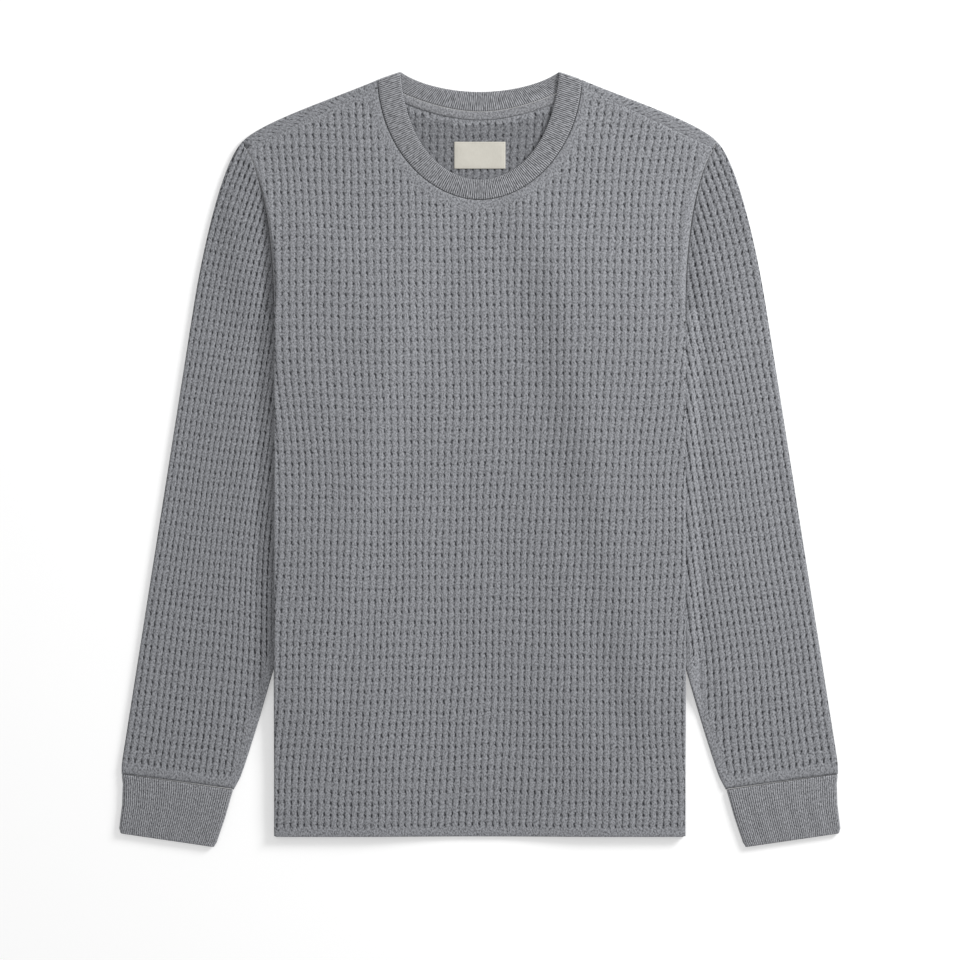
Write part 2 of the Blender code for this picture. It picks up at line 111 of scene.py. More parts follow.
CLOTH = 0.0016
FOLD_RADIUS = 0.0021
EDGE_ROUND = 0.0008
SIDE_FOLD_X = 0.1930
SIDE_SEAM_X = 0.1220
HEM_Y = -0.3544
ARMHOLE_FOOT_Y = 0.1310
UNDERARM_Y = 0.1120
TUCK_END_X = 0.1940
TUCK_END_Y = -0.2110
SHOULDER_SEAM_DROP = 0.0075
SEAM_GAP = 0.0003
FRONT_MIDDLE_Z = 0.0038
FRONT_SIDE_Z = 0.0087
FRONT_OVER_SLEEVE_Z = 0.0125
SHOULDER_Z = 0.0046
TUCKED_SLEEVE_Z = 0.0045
TUCKED_SLEEVE_TOP_Z = 0.0080
SLEEVE_TOP_Z = 0.0041

SEAMS = {
    # name                start              first handle       second handle      end
    "front_neck_seam":   ((0.0, 0.2438),     (0.0480, 0.2438),  (0.0930, 0.2920),  (0.0957, 0.3563)),
    "front_neck_edge":   ((0.0, 0.2624),     (0.0360, 0.2624),  (0.0700, 0.2970),  (0.0745, 0.3638)),
    "back_neck_seam":    ((0.0957, 0.3563),  (0.0750, 0.3430),  (0.0350, 0.3266),  (0.0, 0.3266)),
    "back_neck_edge":    ((0.0745, 0.3638),  (0.0580, 0.3520),  (0.0280, 0.3450),  (0.0, 0.3450)),
    "shoulder":          ((0.0957, 0.3563),  (0.1400, 0.3375),  (0.2080, 0.3160),  (0.2240, 0.2970)),
    "armhole":           ((0.1930, 0.1310),  (0.1925, 0.2150),  (0.2050, 0.2770),  (0.2240, 0.2970)),
    "sleeve_cap_edge":   ((0.2240, 0.2970),  (0.2410, 0.2790),  (0.2580, 0.2080),  (0.2678, 0.1495)),
    "sleeve_inner_edge": ((0.1220, 0.1120),  (0.1430, 0.0100),  (0.1700, -0.1400), (0.2290, -0.3101)),
}

# Waffle knit: a column is one rib and the furrow beside it, a row is one pit and the bridge above it
COLUMN_PITCH = 0.00664
ROW_PITCH = 0.0106
BODY_COLUMNS = (-36, 36)
BODY_ROWS = (-1, 70)
COLUMN_STEPS = (0.0, 0.15, 0.38, 0.62, 0.85)
ROW_STEPS = (0.0, 0.22, 0.50, 0.78)
RIB_HEIGHT = 0.00022
FURROW_DEPTH = 0.00042
PIT_DEPTH = 0.00050
BRIDGE_HEIGHT = 0.00006
# Half widths of the furrow and the pit, in shares of a column, and of the pit in shares of a row
FURROW_WIDTH = 0.13
PIT_WIDTH = 0.14
PIT_LENGTH = 0.17
# Further than anything here, to start a search for the nearest, and closer than any two points
FAR = 1e9
MERGE_DISTANCE = 2e-6
WAFFLE_LIGHT = (0.314, 0.321, 0.342)
WAFFLE_DARK = (0.026, 0.027, 0.031)
CLOTH_ROUGHNESS = 0.92
CLOTH_SHEEN = 0.12
# The shade of plain knit, from dark to light; spreads are squared shares of a column or a row
WAFFLE_SHADE = 0.72
FURROW_SPREAD = 0.0170
PIT_SPREAD = 0.0340
PIT_SLANT = 0.48
# The row where painted shade starts to darken a sleeve's cap, and over how many rows it deepens
CAP_ROW = 42.0
CAP_ROWS = 12.0
# The least plainness of the right side of a cloth whose inside shows too; below it, the inside is dimmed with
# painted shade
RIGHT_SIDE = 0.02


def smooth(value):
    """Soft step from 0 to 1, for a value from 0 to 1."""
    value = np.clip(value, 0.0, 1.0)
    return value * value * (3.0 - 2.0 * value)


def mix(first, second, share):
    """Between two values: the first at share 0, the second at share 1."""
    return first + (second - first) * share


def seam(name, count=60, start=0.0, end=1.0):
    """Points along a seam, as an array of (x, y)."""
    t = np.linspace(start, end, count)[:, None]
    a, b, c, d = (np.array(point) for point in SEAMS[name])
    return a * (1 - t)**3 + b * (3 * (1 - t)**2 * t) + c * (3 * (1 - t) * t**2) + d * t**3


def left_of(line):
    """Unit vectors to the left of a line's direction, at each of its points."""
    along = np.gradient(line, axis=0)
    across = np.column_stack((-along[:, 1], along[:, 0]))
    return across / np.maximum(np.linalg.norm(across, axis=1, keepdims=True), 1e-9)


def outward_at(line, shares):
    """Directions out of an anticlockwise outline, at shares of one of its edges."""
    normals = -left_of(line)
    along = np.linspace(0, 1, len(line))
    return np.column_stack([np.interp(shares, along, normals[:, k]) for k in (0, 1)])


def nearest(points, line):
    """Distance from each point to an open line, the nearest point, and the share of the line there."""
    best = np.full(len(points), FAR)
    place = np.zeros((len(points), 2))
    share = np.zeros(len(points))
    for i in range(len(line) - 1):
        a, ab = line[i], line[i + 1] - line[i]
        length = ab @ ab
        if length < 1e-18:
            continue
        t = np.clip(((points - a) @ ab) / length, 0.0, 1.0)
        foot = a + t[:, None] * ab
        distance = np.linalg.norm(points - foot, axis=1)
        closer = distance < best
        best[closer] = distance[closer]
        place[closer] = foot[closer]
        share[closer] = (i + t[closer]) / (len(line) - 1)
    return best, place, share


def inside(points, outline):
    """Which points lie inside a closed outline."""
    x, y = points[:, 0], points[:, 1]
    odd = np.zeros(len(points), bool)
    for a, b in zip(outline, np.roll(outline, -1, axis=0)):
        if a[1] == b[1]:
            continue
        crosses = (a[1] > y) != (b[1] > y)
        odd ^= crosses & (x < (b[0] - a[0]) * (y - a[1]) / (b[1] - a[1]) + a[0])
    return odd


def cell_middles(grid):
    return ((grid[:-1, :-1] + grid[1:, :-1] + grid[:-1, 1:] + grid[1:, 1:]) / 4).ravel()


class CutPiece:
    """A piece of knit laid out on its weave, trimmed to an outline made of named edges.

    Edges run anticlockwise. The grid's cells are the knit's own columns and rows, and the cells
    at the outline are pulled onto it.
    """

    def __init__(self, edges, columns, rows, place):
        self.edges = edges
        outline = np.concatenate([line[:-1] for name, line in edges])
        c, r = np.meshgrid(columns, rows)
        x, y = place(c, r)
        flat = np.column_stack((x.ravel(), y.ravel()))
        centres = np.column_stack((cell_middles(x), cell_middles(y)))
        kept = inside(centres, outline).reshape(x.shape[0] - 1, x.shape[1] - 1)
        index = np.arange(x.size).reshape(x.shape)
        quads = np.stack((index[:-1, :-1], index[:-1, 1:], index[1:, 1:], index[1:, :-1]), axis=-1)[kept]
        a, b, d = flat[quads[0, 0]], flat[quads[0, 1]], flat[quads[0, 3]]
        if (b[0] - a[0]) * (d[1] - a[1]) < (b[1] - a[1]) * (d[0] - a[0]):
            quads = quads[:, ::-1]
        loop = self.trace(quads)
        used = np.zeros(x.size, bool)
        quads = quads[self.linked(quads, loop)]
        used[quads.ravel()] = True
        renumber = np.cumsum(used) - 1
        self.quads = renumber[quads]
        self.loop = renumber[np.array(loop)]
        self.xy = flat[used]
        self.weave = np.column_stack((c.ravel(), r.ravel()))[used]
        du = np.gradient(x, axis=1) / np.gradient(c, axis=1)
        dv = np.gradient(y, axis=0) / np.gradient(r, axis=0)
        self.scale = np.column_stack((du.ravel(), dv.ravel()))[used]
        self.pull_to_outline()
        self.share_out_loop()

    def trace(self, quads):
        """The longest loop of cell sides that have a cell on one side only."""
        sides = np.concatenate([quads[:, [i, (i + 1) % 4]] for i in range(4)])
        known = set(map(tuple, sides.tolist()))
        onward = {}
        for a, b in sides.tolist():
            if (b, a) not in known:
                onward.setdefault(a, []).append(b)
        loops = []
        while onward:
            start = next(iter(onward))
            loop, at = [], start
            while at in onward:
                loop.append(at)
                ahead = onward[at].pop()
                if not onward[at]:
                    del onward[at]
                at = ahead
            loops.append(loop)
        return max(loops, key=len)

    def linked(self, quads, loop):
        """Which cells belong with the longest loop, found by spreading from it."""
        marked = np.zeros(quads.max() + 1, bool)
        marked[loop] = True
        while True:
            cells = marked[quads].any(axis=1)
            before = marked.sum()
            marked[quads[cells].ravel()] = True
            if marked.sum() == before:
                return cells

    def pull_to_outline(self):
        """Move the loop onto the outline, with one of its points at each of the outline's corners."""
        points = self.xy[self.loop]
        best = np.full(len(points), FAR)
        moved = points.copy()
        for name, line in self.edges:
            distance, place, _ = nearest(points, line)
            closer = distance < best - 1e-9
            best[closer] = distance[closer]
            moved[closer] = place[closer]
        for name, line in self.edges:
            moved[np.argmin(np.linalg.norm(points - line[0], axis=1))] = line[0]
        self.weave[self.loop] += (moved - points) / self.scale[self.loop]
        self.xy[self.loop] = moved

    def share_out_loop(self):
        """Start the loop at the first edge, and give each point its edge, its share of it and its outside."""
        points = self.xy[self.loop]
        count = len(points)
        starts = [int(np.argmin(np.linalg.norm(points - line[0], axis=1))) for name, line in self.edges]
        self.loop = np.roll(self.loop, -starts[0])
        self.starts = [(start - starts[0]) % count for start in starts]
        self.edge = np.zeros(count, int)
        self.share = np.zeros(count)
        self.outward = np.zeros((count, 2))
        for number, (first, last) in enumerate(zip(self.starts, self.starts[1:] + [count])):
            line = self.edges[number][1]
            share = nearest(self.xy[self.loop[first:last]], line)[2]
            self.edge[first:last] = number
            self.share[first:last] = share
            self.outward[first:last] = outward_at(line, share)
        self.outward /= np.linalg.norm(self.outward, axis=1, keepdims=True)

    def edge_name(self, i):
        return self.edges[self.edge[i % len(self.loop)]][0]


class Maker:
    """Collects the points and faces of one piece, then makes its mesh.

    Each point has a place in the weave, in columns and rows, and a plainness: 1 where the cloth
    shows no furrows or pits, and below 0 where its furrows and pits are deeper and darker, partly
    with painted shade. Flip turns all the faces over.
    """

    def __init__(self, name, flip=False):
        self.name = name
        self.flip = flip
        self.points = []
        self.weave = []
        self.plain = []
        self.faces = []

    def add(self, points, weave, plain):
        """Add points, and give back their numbers."""
        start = len(self.points)
        self.points.extend(np.asarray(points, float).reshape(-1, 3).tolist())
        self.weave.extend(np.asarray(weave, float).reshape(-1, 2).tolist())
        plain = np.broadcast_to(plain, (len(self.points) - start,))
        self.plain.extend(plain.tolist())
        return np.arange(start, len(self.points))

    def mirror(self):
        """Move the points to the other side of the body, for a maker whose faces are flipped."""
        for point in self.points:
            point[0] = -point[0]

    def fill(self, loop, inner, upward):
        """Triangles between a loop of points and the points inside it, seen from above."""
        ids = list(loop) + list(inner)
        flat = [Vector(self.points[i][:2]) for i in ids]
        sides = [(i, (i + 1) % len(loop)) for i in range(len(loop))]
        _, _, faces, origins, _, _ = delaunay_2d_cdt(flat, sides, [], 1, 1e-7)
        for face in faces:
            if all(origins[i] for i in face):
                corners = [ids[origins[i][0]] for i in face]
                a, b, c = (self.points[i] for i in corners[:3])
                turn = (b[0] - a[0]) * (c[1] - a[1]) - (b[1] - a[1]) * (c[0] - a[0])
                if (turn > 0) != upward:
                    corners.reverse()
                self.faces.append(corners)

    def finish(self, material, node, slot):
        """Make the piece, closed at its corners, and put it in the place of its node."""
        data = bpy.data.meshes.new(self.name)
        faces = [face[::-1] for face in self.faces] if self.flip else self.faces
        data.from_pydata(self.points, [], faces)
        layer = data.uv_layers.new(name="weave")
        corner = np.empty(len(data.loops), int)
        data.loops.foreach_get("vertex_index", corner)
        layer.data.foreach_set("uv", np.array(self.weave, float)[corner].ravel())
        plain = data.attributes.new("plain", "FLOAT", "POINT")
        plain.data.foreach_set("value", np.array(self.plain, float))
        mesh = bmesh.new()
        mesh.from_mesh(data)
        bmesh.ops.remove_doubles(mesh, verts=mesh.verts, dist=MERGE_DISTANCE)
        bmesh.ops.dissolve_degenerate(mesh, edges=mesh.edges, dist=1e-7)
        bmesh.ops.triangulate(mesh, faces=[f for f in mesh.faces if len(f.verts) > 4])
        bmesh.ops.holes_fill(mesh, edges=[e for e in mesh.edges if e.is_boundary], sides=12)
        mesh.to_mesh(data)
        mesh.free()
        data.shade_smooth()
        data.materials.append(material)
        piece = bpy.data.objects.new(self.name, data)
        bpy.context.scene.collection.objects.link(piece)
        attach(piece, "root")
        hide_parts(node)
        return piece


class Signal:
    """A shader socket with arithmetic: an expression on signals adds its Math nodes."""

    def __init__(self, tree, socket):
        self.tree = tree
        self.socket = socket

    def math(self, operation, *values):
        """Add a Math node on signals or numbers."""
        maths = self.tree.nodes.new("ShaderNodeMath")
        maths.operation = operation
        for slot, value in zip(maths.inputs, values):
            if isinstance(value, Signal):
                self.tree.links.new(value.socket, slot)
            else:
                slot.default_value = value
        return Signal(self.tree, maths.outputs[0])

    def __add__(self, other):
        return self.math("ADD", self, other)

    def __sub__(self, other):
        return self.math("SUBTRACT", self, other)

    def __mul__(self, other):
        return self.math("MULTIPLY", self, other)

    def __truediv__(self, other):
        return self.math("DIVIDE", self, other)

    def __radd__(self, other):
        return self.math("ADD", other, self)

    def __rsub__(self, other):
        return self.math("SUBTRACT", other, self)

    def __rmul__(self, other):
        return self.math("MULTIPLY", other, self)

    def __rtruediv__(self, other):
        return self.math("DIVIDE", other, self)

    def fract(self):
        return self.math("FRACT", self)

    def floor(self):
        return self.math("FLOOR", self)

    def from_whole(self):
        """Signed distance from the nearest whole number."""
        return (self + 0.5).fract() - 0.5

    def squared(self):
        return self * self

    def size(self):
        return self.math("ABSOLUTE", self)

    def bell(self):
        """1 where the signal is 0, falling as exp(-s) for a squared distance s."""
        return self.math("EXPONENT", self * -1.0)

    def clamped(self):
        return self.math("MINIMUM", self.math("MAXIMUM", self, 0.0), 1.0)


class Finish:
    """One cloth's material, built node by node."""

    def __init__(self, name, roughness, sheen):
        self.material = bpy.data.materials.new(name)
        self.material.use_nodes = True
        self.tree = self.material.node_tree
        self.shader = self.tree.nodes["Principled BSDF"]
        self.shader.inputs["Roughness"].default_value = roughness
        self.shader.inputs["Specular IOR Level"].default_value = 0.15
        self.shader.inputs["Sheen Weight"].default_value = sheen
        self.shader.inputs["Sheen Roughness"].default_value = 0.6

    def node(self, kind, settings, sockets, output=0):
        """Add a node: its settings first, then the values or links of its sockets."""
        made = self.tree.nodes.new(kind)
        for name, value in settings.items():
            setattr(made, name, value)
        for name, value in sockets.items():
            if isinstance(value, Signal):
                self.tree.links.new(value.socket, made.inputs[name])
            else:
                made.inputs[name].default_value = value
        return Signal(self.tree, made.outputs[output])

    def weave(self):
        """The column and the row."""
        uv = self.node("ShaderNodeUVMap", {"uv_map": "weave"}, {})
        column = self.node("ShaderNodeSeparateXYZ", {}, {"Vector": uv}, "X")
        row = self.node("ShaderNodeSeparateXYZ", {}, {"Vector": uv}, "Y")
        return column, row

    def vector(self, x, y, z=0.0):
        return self.node("ShaderNodeCombineXYZ", {}, {"X": x, "Y": y, "Z": z})

    def plain(self):
        return self.node("ShaderNodeAttribute", {"attribute_name": "plain"}, {}, "Fac")

    def noise(self, vector, scale, detail):
        sockets = {"Vector": vector, "Scale": scale, "Detail": detail, "Roughness": 0.6}
        return self.node("ShaderNodeTexNoise", {"noise_dimensions": "2D"}, sockets, "Fac")

    def heather(self, across, along):
        """Dark and light fibres in the yarn, as short slanting flecks. Lengths in millimetres."""
        slant = self.vector(across + along * 0.45, along * 0.55 - across * 0.30)
        flecks = self.noise(slant, 0.80, 1.0)
        other_slant = self.vector(across * 0.9 - along * 0.30, along * 0.6 + across * 0.25)
        other = self.noise(other_slant, 0.66, 1.0)
        return (flecks - 0.5) * 2.4 + (other - 0.5) * 1.6

    def colour(self, shade, dark, light):
        """Colour the cloth from dark to light. A Mix node's colours are its sockets 6, 7 and 2."""
        sockets = {0: shade.clamped(), 6: (*dark, 1.0), 7: (*light, 1.0)}
        mixed = self.node("ShaderNodeMix", {"data_type": "RGBA"}, sockets, 2)
        self.tree.links.new(mixed.socket, self.shader.inputs["Base Color"])

    def bump(self, height, distance, strength):
        bump = self.node("ShaderNodeBump", {}, {"Height": height, "Distance": distance, "Strength": strength})
        self.tree.links.new(bump.socket, self.shader.inputs["Normal"])


def waffle_finish(name, column_width, furrows=0.10, inside=1.0, cap=0.0):
    """Waffle knit. The furrows are at whole columns and their pits at whole rows.

    Column width is in millimetres, and furrows is how much painted shade darkens the
    furrows between their pits.
    Inside is how much painted shade dims the cloth's inside, beside its right side, for the shade
    in the neck opening. Cap is how much painted shade darkens the knit up a sleeve's cap, where the
    cap turns away from the light.
    """
    finish = Finish(name, CLOTH_ROUGHNESS, CLOTH_SHEEN)
    column, row = finish.weave()
    plain = finish.plain()
    knit = 1.0 - plain
    across, along = column * column_width, row * (ROW_PITCH * 1000)
    wander = finish.noise(finish.vector(across, along), 0.12, 1.0)
    uneven = finish.noise(finish.vector(across, along), 0.035, 2.0)
    cell = finish.vector((column + 0.5).floor(), (row + 0.5).floor())
    chance = finish.node("ShaderNodeTexWhiteNoise", {"noise_dimensions": "2D"}, {"Vector": cell}, "Value")
    # Signed distances from a furrow's middle and a pit's middle
    side = column.from_whole() + (wander - 0.5) * 0.10
    rise = row.from_whole() + (chance - 0.5) * 0.10
    furrow = (side.squared() / FURROW_SPREAD).bell()
    slanted = side + rise * PIT_SLANT
    pit = ((slanted.squared() / FURROW_SPREAD) + (rise.squared() / PIT_SPREAD)).bell()
    # Each pit has a smaller one above it, and the furrows close up towards the hem
    second = (row + 0.47).from_whole()
    small = ((side.squared() / 0.0130) + (second.squared() / 0.0120)).bell()
    closed_up = (1.0 - row * 0.022).clamped()
    depth = furrow * (furrows - 0.02 + uneven * 0.16 + closed_up * 0.10)
    depth = depth + pit * (0.56 + chance * 0.26) + small * (0.12 + chance * 0.18)
    flecks = finish.heather(across, along)
    # The furrows and pits are darkened with painted shade, for the shade that falls in them, on top of their
    # relief in the mesh and the bump
    shade = WAFFLE_SHADE - depth * knit * 0.95 + flecks * 0.56 - plain * 0.05
    # Painted shade dims the inside, where plainness is below RIGHT_SIDE, for the shade in the neck opening
    right_side = (plain / RIGHT_SIDE).clamped()
    # Painted shade darkens the knit up a sleeve's cap, where the cap turns away from the light
    cap_shade = ((row - CAP_ROW) / CAP_ROWS).clamped()
    shade = shade * (inside + right_side * (1.0 - inside)) - cap_shade * cap
    finish.colour(shade, WAFFLE_DARK, WAFFLE_LIGHT)
    loops = finish.noise(finish.vector(across * 1.2, along * 0.8), 1.5, 2.0)
    relief = 1.0 - (furrow * 0.35 + pit * 0.65) * knit + (loops - 0.5) * 0.40
    finish.bump(relief, 0.0006, 0.55)
    return finish.material


def relief(column, row, plain):
    """Height of the knit above the panel's own surface: ribs, furrows and pits."""
    side = np.abs((column + 0.5) % 1.0 - 0.5)
    rise = np.abs((row + 0.5) % 1.0 - 0.5)
    crown = RIB_HEIGHT * np.sin(np.pi * side)
    furrow = FURROW_DEPTH * np.exp(-(side / FURROW_WIDTH)**2) * (0.55 + 0.45 * np.cos(2 * np.pi * row)**2)
    pit = PIT_DEPTH * np.exp(-(side / PIT_WIDTH)**2 - (rise / PIT_LENGTH)**2)
    bridge = BRIDGE_HEIGHT * np.cos(2 * np.pi * (row - 0.5))
    return (crown - furrow - pit + bridge) * (1.0 - plain)


def waves(x, y, table):
    """Slow unevenness of cloth that was smoothed by hand: a sum of soft waves."""
    total = np.zeros_like(x)
    for height, along_x, along_y, phase in table:
        total += height * np.sin(along_x * x + along_y * y + phase)
    return total


def creases(x, y, table):
    """Soft ridges and troughs: each runs between two points and fades at its ends."""
    total = np.zeros_like(x)
    for x0, y0, x1, y1, height, width, bend in table:
        along = np.array((x1 - x0, y1 - y0))
        length = np.hypot(*along)
        along /= length
        s = ((x - x0) * along[0] + (y - y0) * along[1]) / length
        d = -(x - x0) * along[1] + (y - y0) * along[0] - bend * 4 * s * (1 - s)
        total += height * np.exp(-(d / width)**2) * smooth(s / 0.3) * smooth((1 - s) / 0.3)
    return total


def fold_share(x, y):
    """How far the front has risen over the tucked-in sleeve, 0 to 1.

    The rise starts 80 mm inside the sleeve's inner edge, and fades below the place where that
    edge comes out of the side.
    """
    down = (UNDERARM_Y - y) / (UNDERARM_Y - TUCK_END_Y)
    rise_x = mix(SIDE_SEAM_X, TUCK_END_X, down) - 0.080
    return smooth((np.abs(x) - rise_x) / 0.045) * smooth((y + 0.300) / 0.085)


def front_height(x, y):
    """Height of the front panel's right side."""
    x = np.abs(x)
    over_tuck = (FRONT_SIDE_Z - FRONT_MIDDLE_Z) * smooth((x - 0.015) / 0.100)
    over_sleeve = (FRONT_OVER_SLEEVE_Z - FRONT_SIDE_Z) * fold_share(x, y)
    to_shoulder = smooth((y - ARMHOLE_FOOT_Y) / 0.150) * smooth(x / 0.060)
    return mix(FRONT_MIDDLE_Z + over_tuck + over_sleeve, SHOULDER_Z, to_shoulder)


def body_place(column, row):
    """Where a column and row of the body's knit lie on the table.

    The columns stand closer at the waist than at the chest, lean a little towards the wearer's
    right on their way down, and fan out towards the shoulders, most at the wearer's left.
    """
    y = HEM_Y + row * ROW_PITCH + 0.0009 * np.sin(column * 0.19 + 1.0) + 0.0006 * np.sin(column * 0.47)
    pitch = COLUMN_PITCH - 0.00045 * smooth((0.140 - y) / 0.180) + 0.00017 * smooth((-0.220 - y) / 0.100)
    lean = -0.0122 * np.clip((0.055 - y) / 0.375, 0.0, 2.0)**1.15
    fan = (np.clip(y - 0.185, 0.0, 1.0) / 0.120)**2 * (column / 25.0) * np.where(column > 0, 0.0125, 0.0035)
    wander = 0.0007 * np.sin(y * 24.0 + column * 0.11) + 0.0004 * np.sin(y * 55.0 + column * 0.43)
    return column * pitch + lean + fan + wander, y


def stepped(first, last, steps):
    """Whole columns or rows from first to last, each with its steps."""
    return np.array([whole + step for whole in range(first, last) for step in steps])


def before_end(name, distance):
    """Share of a seam at which its end is this far away."""
    samples = 400
    line = seam(name, samples + 1)
    far = np.linalg.norm(line - line[-1], axis=1) >= distance
    return np.nonzero(far)[0].max() / samples


ARMHOLE_END = before_end("armhole", SHOULDER_SEAM_DROP)
NECK_END = before_end("front_neck_seam", SHOULDER_SEAM_DROP)
NECK_POINT = seam("front_neck_seam", 2, 0.0, NECK_END)[-1]
ARM_POINT = seam("armhole", 2, 0.0, ARMHOLE_END)[-1]


def mirrored(line):
    """The same line on the other side of the centre, still running anticlockwise."""
    return (line * (-1.0, 1.0))[::-1]


def armhole_roll(y):
    """Depth, width and last angle of the front's rolled edge along the armhole."""
    clear = smooth((y - ARMHOLE_FOOT_Y) / (FOLD_RADIUS * 10))
    sleeve_z = mix(TUCKED_SLEEVE_TOP_Z, SLEEVE_TOP_Z, clear)
    depth = np.maximum(0.0008, front_height(SIDE_FOLD_X, y) - sleeve_z)
    opened = smooth((y - ARMHOLE_FOOT_Y) / 0.035)
    width = mix(FOLD_RADIUS, np.maximum(FOLD_RADIUS, 0.75 * depth), opened)
    return mix(FOLD_RADIUS, depth, opened), width, mix(-90.0, -5.0, opened)


def body_edges(armhole, shoulder, neck):
    """A body panel's whole outline, from the upper edges of its half at the wearer's left."""
    fold_x = SIDE_FOLD_X - FOLD_RADIUS
    inner_y = HEM_Y + EDGE_ROUND
    side = np.linspace((fold_x, inner_y), (fold_x, ARMHOLE_FOOT_Y), 40)
    armhole[0] = side[-1]
    shoulder[0] = armhole[-1]
    neck[0] = shoulder[-1]
    neck[-1, 0] = 0.0
    return [
        ("hem", np.linspace((-fold_x, inner_y), (fold_x, inner_y), 40)),
        ("side", side),
        ("armhole", armhole),
        ("shoulder", shoulder),
        ("neck", np.concatenate((neck, mirrored(neck)[1:]))),
        ("shoulder", mirrored(shoulder)),
        ("armhole", mirrored(armhole)),
        ("side", mirrored(side)),
    ]


def front_edges():
    """The front's outline on the table, inside the rounding of its edges."""
    armhole = seam("armhole", 80, 0.0, ARMHOLE_END)
    neck = seam("front_neck_seam", 80, 0.0, NECK_END)
    width = armhole_roll(armhole[:, 1])[1]
    along_shoulder = (armhole[-1] - neck[-1]) / np.linalg.norm(armhole[-1] - neck[-1])
    turn = np.linspace(0, 1, 80)[:, None]**4
    outward = mix(-left_of(armhole), along_shoulder, turn)
    outward /= np.linalg.norm(outward, axis=1, keepdims=True)
    armhole = armhole - outward * width[:, None]
    neck = (neck - left_of(neck) * (SEAM_GAP * 1.5 + EDGE_ROUND))[::-1]
    return body_edges(armhole, np.linspace(armhole[-1], neck[0], 20), neck)


def profile_points(maker, piece, i, profile, top_z, plain, slant=0.0, out=None):
    """Points of an edge's rounding at one place of the loop, from (outward, up) steps.

    Slant is how far the cloth that turns in also goes down the body, on its way to the side seam.
    """
    base = piece.xy[piece.loop[i]]
    out = piece.outward[i] if out is None else out
    weave = piece.weave[piece.loop[i]]
    scale = piece.scale[piece.loop[i]]
    points, weaves = [], []
    walked, last = 0.0, (0.0, 0.0)
    for step_out, up in profile:
        walked += math.hypot(step_out - last[0], up - last[1])
        last = (step_out, up)
        inward = max(0.0, -step_out) / (SIDE_FOLD_X - SIDE_SEAM_X)
        points.append((*(base + out * step_out - (0.0, slant * inward)), top_z + up))
        weaves.append(weave + out * walked / scale)
    return maker.add(points, weaves, plain)


def arc_profile(width, depth, last, steps, thickness):
    """Rounding that turns down through an angle, ends at the cut edge, and comes back inside."""
    angles = np.radians(np.linspace(90.0, last, steps + 1)[1:])
    outer = [(width * math.cos(a), depth * (math.sin(a) - 1)) for a in angles]
    end = angles[-1]
    inner = (max(0.0, width - thickness), max(0.0, depth - thickness))
    cut = (outer[-1][0] - thickness * math.cos(end), outer[-1][1] - thickness * math.sin(end))
    middle = (inner[0] * math.cos(0.6), -thickness + inner[1] * (math.sin(0.6) - 1))
    return outer + [cut, middle]


def pressed_profile():
    """The rounding of an edge that is sewn or pressed."""
    angles = np.radians((45.0, 0.0, -45.0))
    return [(EDGE_ROUND * math.cos(a), CLOTH / 2 * (math.sin(a) - 1)) for a in angles]


def side_profile(turn):
    """The soft fold at the side, and the cloth turned in to the side seam. Turn is -1 down, 1 up."""
    angles = np.radians(np.linspace(90.0, -90.0, 7)[1:])
    fold_x = SIDE_FOLD_X - FOLD_RADIUS
    reach = fold_x - SIDE_SEAM_X
    outer = [(FOLD_RADIUS * math.cos(a), FOLD_RADIUS * (1 - math.sin(a))) for a in angles]
    outer += [(-reach * share, 2 * FOLD_RADIUS) for share in (0.33, 0.66, 1.0)]
    inner = [(-reach * share, 2 * FOLD_RADIUS - CLOTH) for share in (1.0, 0.66, 0.33, 0.0)]
    inner += [(FOLD_RADIUS - CLOTH, FOLD_RADIUS)]
    return [(out, turn * up) for out, up in outer + inner]


def side_points(maker, piece, i, turn, top_z, plain):
    """The side's fold at one place of the loop. It goes straight out, and slants near the underarm."""
    x, y = piece.xy[piece.loop[i]]
    slant = smooth(y / ARMHOLE_FOOT_Y) * (ARMHOLE_FOOT_Y - UNDERARM_Y)
    out = np.array((math.copysign(1.0, x), 0.0))
    return profile_points(maker, piece, i, side_profile(turn), top_z, plain, slant, out)


def stitch_edges(maker, piece, tops, ends, profile_of):
    """Rounding strips all round a piece, from its top loop to the loop where its inside starts.

    A corner belongs to two edges, so it has a strip for each, and a face between them.
    """
    count = len(piece.loop)
    strips = {}
    for i in range(count):
        strips[i] = profile_of(i, piece.edge_name(i))
        if i in piece.starts:
            strips[i, "before"] = profile_of(i, piece.edge_name(i - 1), before=True)
    for i in range(count):
        j = (i + 1) % count
        a = [tops[i], *strips[i], ends[i]]
        b = [tops[j], *(strips[j, "before"] if j in piece.starts else strips[j]), ends[j]]
        for k in range(len(a) - 1):
            maker.faces.append([a[k], a[k + 1], b[k + 1], b[k]])
        if i in piece.starts:
            corner = [tops[i], *strips[i, "before"], ends[i], *reversed(list(strips[i]))]
            maker.faces.append(corner)


def seam_distances(xy):
    """Distances from the neck, armhole and shoulder seams, on either side of the body."""
    folded = np.column_stack((np.abs(xy[:, 0]), xy[:, 1]))
    to_neck = nearest(folded, seam("front_neck_seam", 60, 0.0, NECK_END))[0]
    to_armhole = nearest(folded, seam("armhole", 60, 0.10, ARMHOLE_END))[0]
    to_shoulder = nearest(folded, np.linspace(NECK_POINT, ARM_POINT, 30))[0]
    return to_neck, to_armhole, to_shoulder


def coarse_points(piece, margin):
    """A thin spread of the grid's points, well inside the outline."""
    whole = np.abs(piece.weave % 2.0).max(axis=1) < 1e-6
    chosen = np.nonzero(whole)[0]
    outline = piece.xy[piece.loop]
    return chosen[nearest(piece.xy[chosen], np.concatenate((outline, outline[:1])))[0] > margin]


def bead(distance, centre, width):
    """1 along a line beside an edge, at a distance from it, falling away over a width."""
    return np.exp(-((distance - centre) / width)**2)


